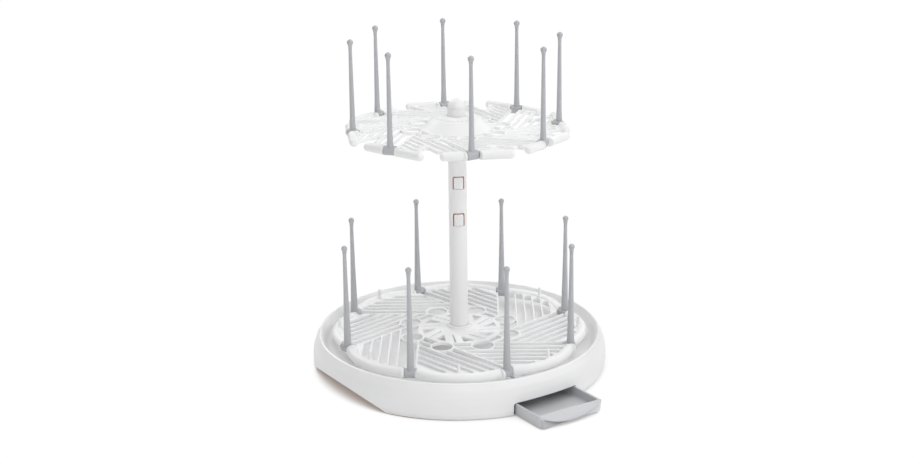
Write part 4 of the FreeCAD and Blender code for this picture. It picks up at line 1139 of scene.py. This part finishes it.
def peg_profile(peg):
    """Foot, tapered shaft, neck and ball as (radius, z)."""
    foot, waist, neck = peg.foot_radius, peg.waist_radius, peg.neck_radius
    ball, waist_z = peg.ball_height, peg.waist_height
    top = ball - 8.0
    profile = [(0.0, 2.7), (foot * 0.9, 2.7), (foot + 0.15, 3.4), (foot, SHAFT_START)]
    for i in range(1, 17):
        z = SHAFT_START + (top - SHAFT_START) * i / 16
        if z < waist_z:
            radius = foot + (waist - foot) * (z - SHAFT_START) / (waist_z - SHAFT_START)
        else:
            radius = waist + (neck - waist) * (z - waist_z) / (top - waist_z)
        profile.append((radius, z))
    profile += [(neck + 0.03, ball - 6.8), (neck + 0.12, ball - 5.2), (neck + 0.32, ball - 3.4)]
    profile += [(BALL_RADIUS * math.cos(a), ball + BALL_RADIUS * math.sin(a))
                for a in [math.radians(-38 + 128 * i / 16) for i in range(16)]]
    profile.append((0.0, ball + BALL_RADIUS))
    return profile


def clip_loop():
    """A C-shaped ring around the axle, open below."""
    def open_ring(radius, steps):
        gap = math.asin(CLIP_MOUTH_HALF / radius)
        angles = [gap + (2 * math.pi - 2 * gap) * i / steps for i in range(steps + 1)]
        return [(radius * math.sin(a), -radius * math.cos(a)) for a in angles]

    return open_ring(CLIP_OUTER, 44) + list(reversed(open_ring(CLIP_INNER, 26)))


def peg_mesh(name, peg):
    shaft = lathe(name + "_shaft", peg_profile(peg), 40)
    clip = along_x(prism(name + "_clip", [clip_loop()], -5.65, 5.65, 0.4))
    bar = along_x(prism(name + "_bar", [fillet(CLIP_BAR, closed=True, steps=4)],
                        -5.25, 5.25, 0.5))
    jaw = along_x(prism(name + "_jaw", [fillet(CLIP_JAW, closed=True, steps=3)],
                        -3.5, 3.5, 0.35, steps=2))
    for part in (shaft, bar, jaw):
        boolean(clip, part, "UNION", crease=30.0)
    mesh = clip.data
    mesh.name = name
    mesh.materials.append(PEG_GREY)
    bpy.data.objects.remove(clip)
    return mesh


def build_pegs(tier, hinge, master):
    for k in range(BAYS):
        name = "%s_peg_%d" % (tier, k + 1)
        degrees = hinge.turn + STEP * k
        x, y = turn([hinge_point(hinge)], degrees)[0]
        mesh = master.copy()
        mesh.transform(Matrix.Translation(Vector((x * MM, y * MM, hinge.height * MM)))
                       @ Matrix.Rotation(math.radians(degrees), 4, "Z"))
        obj = link(bpy.data.objects.new(name + "_body", mesh))
        settle(obj, name, "peg_plastic", name)


# ---------------------------------------------------------------------- drawer
# Drawn with its front toward +X, then turned to DRAWER_AZIMUTH.
DRAWER_FRONT, DRAWER_BACK = 174.0, 76.5  # distances from the axis
DRAWER_BOTTOM, DRAWER_TOP = 1.7, 12.5
DRAWER_WALL = 1.8
FRONT_WALL = 3.0
FRONT_SPANS = 44  # subdivisions of the front edge
LIP_BULGE = 3.6  # how far the lip stands out
RECESS = 0.7  # how far the face under the lip is set back
SLANT = 3.4
UNDER_RISE = 0.9  # height of the rounding at the bottom edge
LIP_DROP = 0.35  # the lip starts this far below the top
# (inset, rise above the bottom) around the underside's edge
UNDER_EDGE = ((1.0, 0.0), (0.5, 0.12), (0.15, 0.45), (0.0, UNDER_RISE))
# outer rings upward, placed on the front: shares of the height below the lip, then places
# on the lip from its lower edge (1; beyond 1 is its underside) toward its start at 0
BELOW_LIP = (0.35, 0.75, 0.98)
ON_LIP = (1.06, 1.0, 0.93, 0.85, 0.7, 0.55, 0.4, 0.25, 0.12)
# (inset, z) over the outer edge of the rim
RIM_EDGE = ((0.02, DRAWER_TOP - 0.32), (0.14, DRAWER_TOP - 0.12), (0.4, DRAWER_TOP - 0.02),
            (0.75, DRAWER_TOP))
# (inset from the inner wall, z) from the rim down to the inner floor
INNER_WALL = ((-0.45, DRAWER_TOP), (-0.15, DRAWER_TOP - 0.08), (0.0, DRAWER_TOP - 0.4),
              (0.0, DRAWER_TOP - 2.0), (0.25, DRAWER_BOTTOM + 3.6), (0.45, DRAWER_BOTTOM + 2.7),
              (1.0, DRAWER_BOTTOM + 2.05), (1.8, DRAWER_BOTTOM + 1.8))


def clamp(value):
    return max(0.0, min(1.0, value))


def smooth(value):
    value = clamp(value)
    return value * value * (3 - 2 * value)


def toward_side(y):
    """0 on the -Y side of the front, 1 on the +Y side."""
    return smooth((y + 12.0) / 44.0)


def lean_front(point):
    """Pushes the foot of the front outward on the -Y side."""
    x, y, z = point
    at_front = smooth((x - (DRAWER_FRONT - 3.0)) / 3.0)
    depth = clamp((DRAWER_TOP - z) / (DRAWER_TOP - DRAWER_BOTTOM - 1.0))
    return (x + SLANT * depth * at_front * (1.0 - toward_side(y)), y, z)


def flare_front(point):
    """Stands the front further out toward +Y and widens its rim there."""
    x, y, z = point
    near_front = smooth((x - (DRAWER_FRONT - 26.0)) / 23.0)
    at_front = smooth((x - (DRAWER_FRONT - 4.6)) / 4.2)
    corner = clamp((y - 18.0) / 14.0)
    height = clamp((z - DRAWER_BOTTOM) / (DRAWER_TOP - DRAWER_BOTTOM))
    return (x + SLANT * toward_side(y) * near_front, y + 1.5 * corner * at_front * height, z)


def drawer_loop(half, back, front, front_corner, back_corner):
    """The plan as (x, y, whether the point subdivides the front edge)."""
    corners = fillet([(back, -half, back_corner), (front, -half, front_corner),
                      (front, half, front_corner), (back, half, back_corner)], closed=True)
    loop = []
    for a, b in zip(corners, corners[1:] + corners[:1]):
        loop.append((a[0], a[1], False))
        both_front = abs(a[0] - front) < 1e-3 and abs(b[0] - front) < 1e-3
        if both_front and abs(b[1] - a[1]) > half:
            loop += [(front, a[1] + (b[1] - a[1]) * j / FRONT_SPANS, True)
                     for j in range(1, FRONT_SPANS)]
    return loop


def outer_loop(distance):
    return drawer_loop(DRAWER_HALF - distance, DRAWER_BACK + distance, DRAWER_FRONT - distance,
                       front_corner=3.0, back_corner=0.8)


def inner_loop(distance):
    return drawer_loop(DRAWER_HALF - DRAWER_WALL - distance, DRAWER_BACK + DRAWER_WALL + distance,
                       DRAWER_FRONT - FRONT_WALL - distance, front_corner=2.6, back_corner=2.0)


def lip_edge(y):
    """Height of the lip's lower edge, lowest in the middle, and its relief from 0 to 1."""
    dip = max(0.0, 1.0 - (y / 30.8) ** 2)
    return DRAWER_BOTTOM + 8.1 - 5.4 * dip, max(0.0, 1.0 - abs(y / 31.0) ** 3.4)


def point_below_lip(x, y, share):
    edge, relief = lip_edge(y)
    start = DRAWER_BOTTOM + UNDER_RISE
    z = start + (edge - 0.35 - DRAWER_BOTTOM - UNDER_RISE) * share
    return (x - RECESS * relief * (1.0 - 0.35 * share ** 3), y, z)


def point_on_lip(x, y, place):
    edge, relief = lip_edge(y)
    along = min(place, 1.0)
    start = DRAWER_TOP - LIP_DROP
    z = start - (start - edge) * along
    if place > 1.0:
        z -= 0.5 * relief + 0.12
        bulge = 0.82
    elif place == 1.0:
        z -= 0.15 * relief
        bulge = 0.965
    else:
        bulge = math.sin(min(1.0, along / 0.97) * math.pi / 2) ** 1.15
    return (x + LIP_BULGE * relief * bulge, y, z)


def drawer_rows():
    """Rings of points from the underside, up the outside, over the rim and down inside."""
    rows = []
    for distance, rise in UNDER_EDGE:
        recess = RECESS * min(1.0, rise / UNDER_RISE)
        rows.append([(x - recess * lip_edge(y)[1] if on_front else x, y, DRAWER_BOTTOM + rise)
                     for x, y, on_front in outer_loop(distance)])
    places = [(point_below_lip, share) for share in BELOW_LIP]
    places += [(point_on_lip, place) for place in ON_LIP]
    wall = DRAWER_TOP - 0.7 - DRAWER_BOTTOM - UNDER_RISE
    for i, (front_point, place) in enumerate(places):
        z = DRAWER_BOTTOM + UNDER_RISE + wall * (i + 1) / (len(places) + 1)
        rows.append([front_point(x, y, place) if on_front else (x, y, z)
                     for x, y, on_front in outer_loop(0.0)])
    rows = [[lean_front(point) for point in row] for row in rows]
    rows += [[(x, y, z) for x, y, _ in outer_loop(distance)] for distance, z in RIM_EDGE]
    rows += [[(x, y, z) for x, y, _ in inner_loop(distance)] for distance, z in INNER_WALL]
    return [[flare_front(point) for point in row] for row in rows]


def build_drawer():
    verts, faces, rings = [], [], []
    for row in drawer_rows():
        rings.append(list(range(len(verts), len(verts) + len(row))))
        verts += row
    for low, high in zip(rings[:-1], rings[1:]):
        bridge(faces, low, high)
    fill_end(verts, faces, [rings[0]], flip=True)
    fill_end(verts, faces, [rings[-1]], flip=False)
    drawer = new_object("drawer_body", verts, faces, crease=40.0)
    # a raised stop on the back wall
    outline = rounded_box(DRAWER_BACK + 0.1, DRAWER_BACK + DRAWER_WALL - 0.1, -20.0, 20.0,
                          radius=0.5, steps=3)
    stop = prism("drawer_stop", [outline], DRAWER_TOP - 1.2, DRAWER_TOP + 1.3, 0.4)
    boolean(drawer, stop, "UNION", crease=40.0)
    for material in (DRAWER_GREY, DRAWER_SHADED, DRAWER_LIT):
        drawer.data.materials.append(material)
    # painted shade and light on the face under the lip: a darker grey toward -Y, a lighter grey
    # toward +Y
    for face in drawer.data.polygons:
        x, y, z = face.center * 1000.0
        if (face.normal.x > 0.45 and x > DRAWER_FRONT - 3.0
                and z < lip_edge(y)[0] - 0.25 and abs(y) < DRAWER_HALF - 0.5):
            face.material_index = 1 if y < 3.0 else 2
    spun(drawer, DRAWER_AZIMUTH)
    settle(drawer, "drawer", "grey_plastic", "drawer")


# ------------------------------------------------------------------ the studio
# (occlusion, colour) of the contact shadows on the left and on the right
LEFT_SHADOW = (
    (0.0, (0.17, 0.125, 0.10)), (0.16, (0.27, 0.205, 0.175)), (0.33, (0.62, 0.59, 0.57)),
    (0.47, (0.92, 0.92, 0.92)), (0.60, (1.0, 1.0, 1.0)),
)
RIGHT_SHADOW = (
    (0.0, (0.30, 0.28, 0.27)), (0.20, (0.52, 0.505, 0.50)), (0.38, (0.84, 0.84, 0.84)),
    (0.54, (0.97, 0.97, 0.97)), (0.70, (1.0, 1.0, 1.0)),
)
FLOOR_GLOW = 0.155  # light the floor gives off toward the object
FLOOR_SEEN = 1.02  # brightness of the floor as the camera sees it
WORLD_LIGHT = 0.3636  # backdrop strength as it lights the object
WORLD_SEEN = 1.2  # backdrop strength as the camera sees it

# soft square panels around a point on the axis, far off so that both tiers get the same light
PANEL_AIM = Vector((0, 0, 0.13))
PANEL_DISTANCE = 4.0
PANEL_SIZE = 1.9
PANEL_POWER = 80
# name, direction from the aim, share of the panel power
PANELS = (
    ("key", (1.5, -0.9, 1.5), 0.433),
    ("right", (1.9, 0.2, 0.6), 0.175),
    ("top", (0.0, 0.2, 1.9), 0.394),
    ("front", (0.0, -2.1, 1.1), 0.255),
    ("back_right", (1.0, 1.6, 1.3), 0.288),
    ("back_left", (-1.1, 1.6, 1.3), 0.503),
    ("right_high", (1.0, -0.1, 1.7), 0.03),
    ("front_high", (0.0, -1.1, 1.7), 0.187),
)

CAMERA_AIM = Vector((0, 0, 0.1595))
CAMERA_DISTANCE = 1.40621
CAMERA_ELEVATION, CAMERA_ROLL = 0.2943, -0.012  # radians
CAMERA_SENSOR, CAMERA_LENS = 36.0, 57.4693043  # millimetres
CAMERA_SHIFT = (0.00240434783, -0.0295195652)  # shares of the frame's width


def shadow_ramp(tree, value, stops):
    made = node(tree, "ValToRGB", {"Fac": value})
    ramp = made.color_ramp
    ramp.interpolation = "B_SPLINE"
    for i, (position, color) in enumerate(stops):
        stop = ramp.elements[i] if i < 2 else ramp.elements.new(position)
        stop.position = position
        stop.color = (*color, 1)
    return made.outputs["Color"]


def floor_material():
    """White sweep: it lights the object from below and shows only contact shadows."""
    material, tree = blank_material("studio_floor")
    coords = node(tree, "TexCoord").outputs["Object"]
    color = mix_color(tree, noise(tree, coords, scale=3.0), (0.79, 0.79, 0.79, 1),
                      (0.81, 0.81, 0.81, 1))
    lighting = node(tree, "BsdfPrincipled", {
        "Base Color": color, "Roughness": 0.9, "Specular IOR Level": 0.1,
        "Emission Color": (1, 1, 1, 1), "Emission Strength": FLOOR_GLOW})
    opened = openness(tree, 0.045, samples=12)
    left = shadow_ramp(tree, opened, LEFT_SHADOW)
    right = shadow_ramp(tree, opened, RIGHT_SHADOW)
    rightward = map_range(tree, split(tree, coords)["X"], -0.06, 0.03, curve="SMOOTHSTEP")
    seen = node(tree, "Emission", {"Color": mix_color(tree, rightward, left, right),
                                   "Strength": FLOOR_SEEN})
    camera_ray = node(tree, "LightPath").outputs["Is Camera Ray"]
    chosen = node(tree, "MixShader", {0: camera_ray, 1: lighting.outputs[0], 2: seen.outputs[0]})
    node(tree, "OutputMaterial", {"Surface": chosen.outputs[0]})
    return material


def build_floor():
    mesh = bpy.data.meshes.new("floor")
    grid = bmesh.new()
    bmesh.ops.create_grid(grid, x_segments=8, y_segments=8, size=4.0)
    grid.to_mesh(mesh)
    grid.free()
    floor = link(bpy.data.objects.new("floor", mesh))
    mesh.materials.append(floor_material())
    floor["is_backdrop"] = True


def build_world():
    """The camera sees a pure white backdrop; the object is lit by a softer one."""
    world = bpy.data.worlds.new("studio")
    scene.world = world
    world.use_nodes = True
    tree = world.node_tree
    lighting = tree.nodes["Background"]
    feed(tree, lighting, {"Color": (1.0, 1.0, 1.0, 1), "Strength": WORLD_LIGHT})
    seen = node(tree, "Background", {"Color": (1, 1, 1, 1), "Strength": WORLD_SEEN})
    camera_ray = node(tree, "LightPath").outputs["Is Camera Ray"]
    chosen = node(tree, "MixShader", {0: camera_ray, 1: lighting.outputs[0], 2: seen.outputs[0]})
    feed(tree, tree.nodes["World Output"], {0: chosen.outputs[0]})


def build_lights():
    for name, direction, share in PANELS:
        light = bpy.data.lights.new(name, "AREA")
        light.shape = "RECTANGLE"
        light.size = PANEL_SIZE
        light.size_y = PANEL_SIZE
        light.energy = PANEL_POWER * share
        panel = link(bpy.data.objects.new(name, light))
        place = PANEL_AIM + Vector(direction).normalized() * PANEL_DISTANCE
        panel.location = place
        panel.rotation_euler = (PANEL_AIM - place).to_track_quat("-Z", "Y").to_euler()


def build_camera():
    sin, cos = math.sin(CAMERA_ELEVATION), math.cos(CAMERA_ELEVATION)
    level_up = Vector((0, sin, cos))
    level_right = Vector((1, 0, 0))
    right = level_right * math.cos(CAMERA_ROLL) + level_up * math.sin(CAMERA_ROLL)
    upward = level_up * math.cos(CAMERA_ROLL) - level_right * math.sin(CAMERA_ROLL)
    backward = Vector((0, -cos, sin))
    place = CAMERA_AIM + backward * CAMERA_DISTANCE
    data = bpy.data.cameras.new("camera")
    data.sensor_width = CAMERA_SENSOR
    data.sensor_fit = "HORIZONTAL"
    data.lens = CAMERA_LENS
    data.shift_x, data.shift_y = CAMERA_SHIFT
    camera = link(bpy.data.objects.new("camera", data))
    camera.matrix_world = Matrix((
        (right.x, upward.x, backward.x, place.x),
        (right.y, upward.y, backward.y, place.y),
        (right.z, upward.z, backward.z, place.z),
        (0, 0, 0, 1)))
    scene.camera = camera


def set_view():
    scene.view_settings.view_transform = "Standard"
    scene.view_settings.look = "None"
    scene.view_settings.exposure = 0.0
    scene.view_settings.gamma = 1.0


# -------------------------------------------------------------------- assembly
build_shell()
build_runners()
paint_cad_pieces()
build_post()
build_dome()
build_carriage()
build_lower_tray()
build_upper_tray()
lower_peg = peg_mesh("low_peg", LOWER_PEG)
upper_peg = peg_mesh("up_peg", UPPER_PEG)
build_pegs("lower", LOWER_HINGE, lower_peg)
build_pegs("upper", UPPER_HINGE, upper_peg)
build_drawer()
build_floor()
build_world()
build_lights()
set_view()
build_camera()

{"cad": cad_box, "visual": as_lists(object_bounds())}
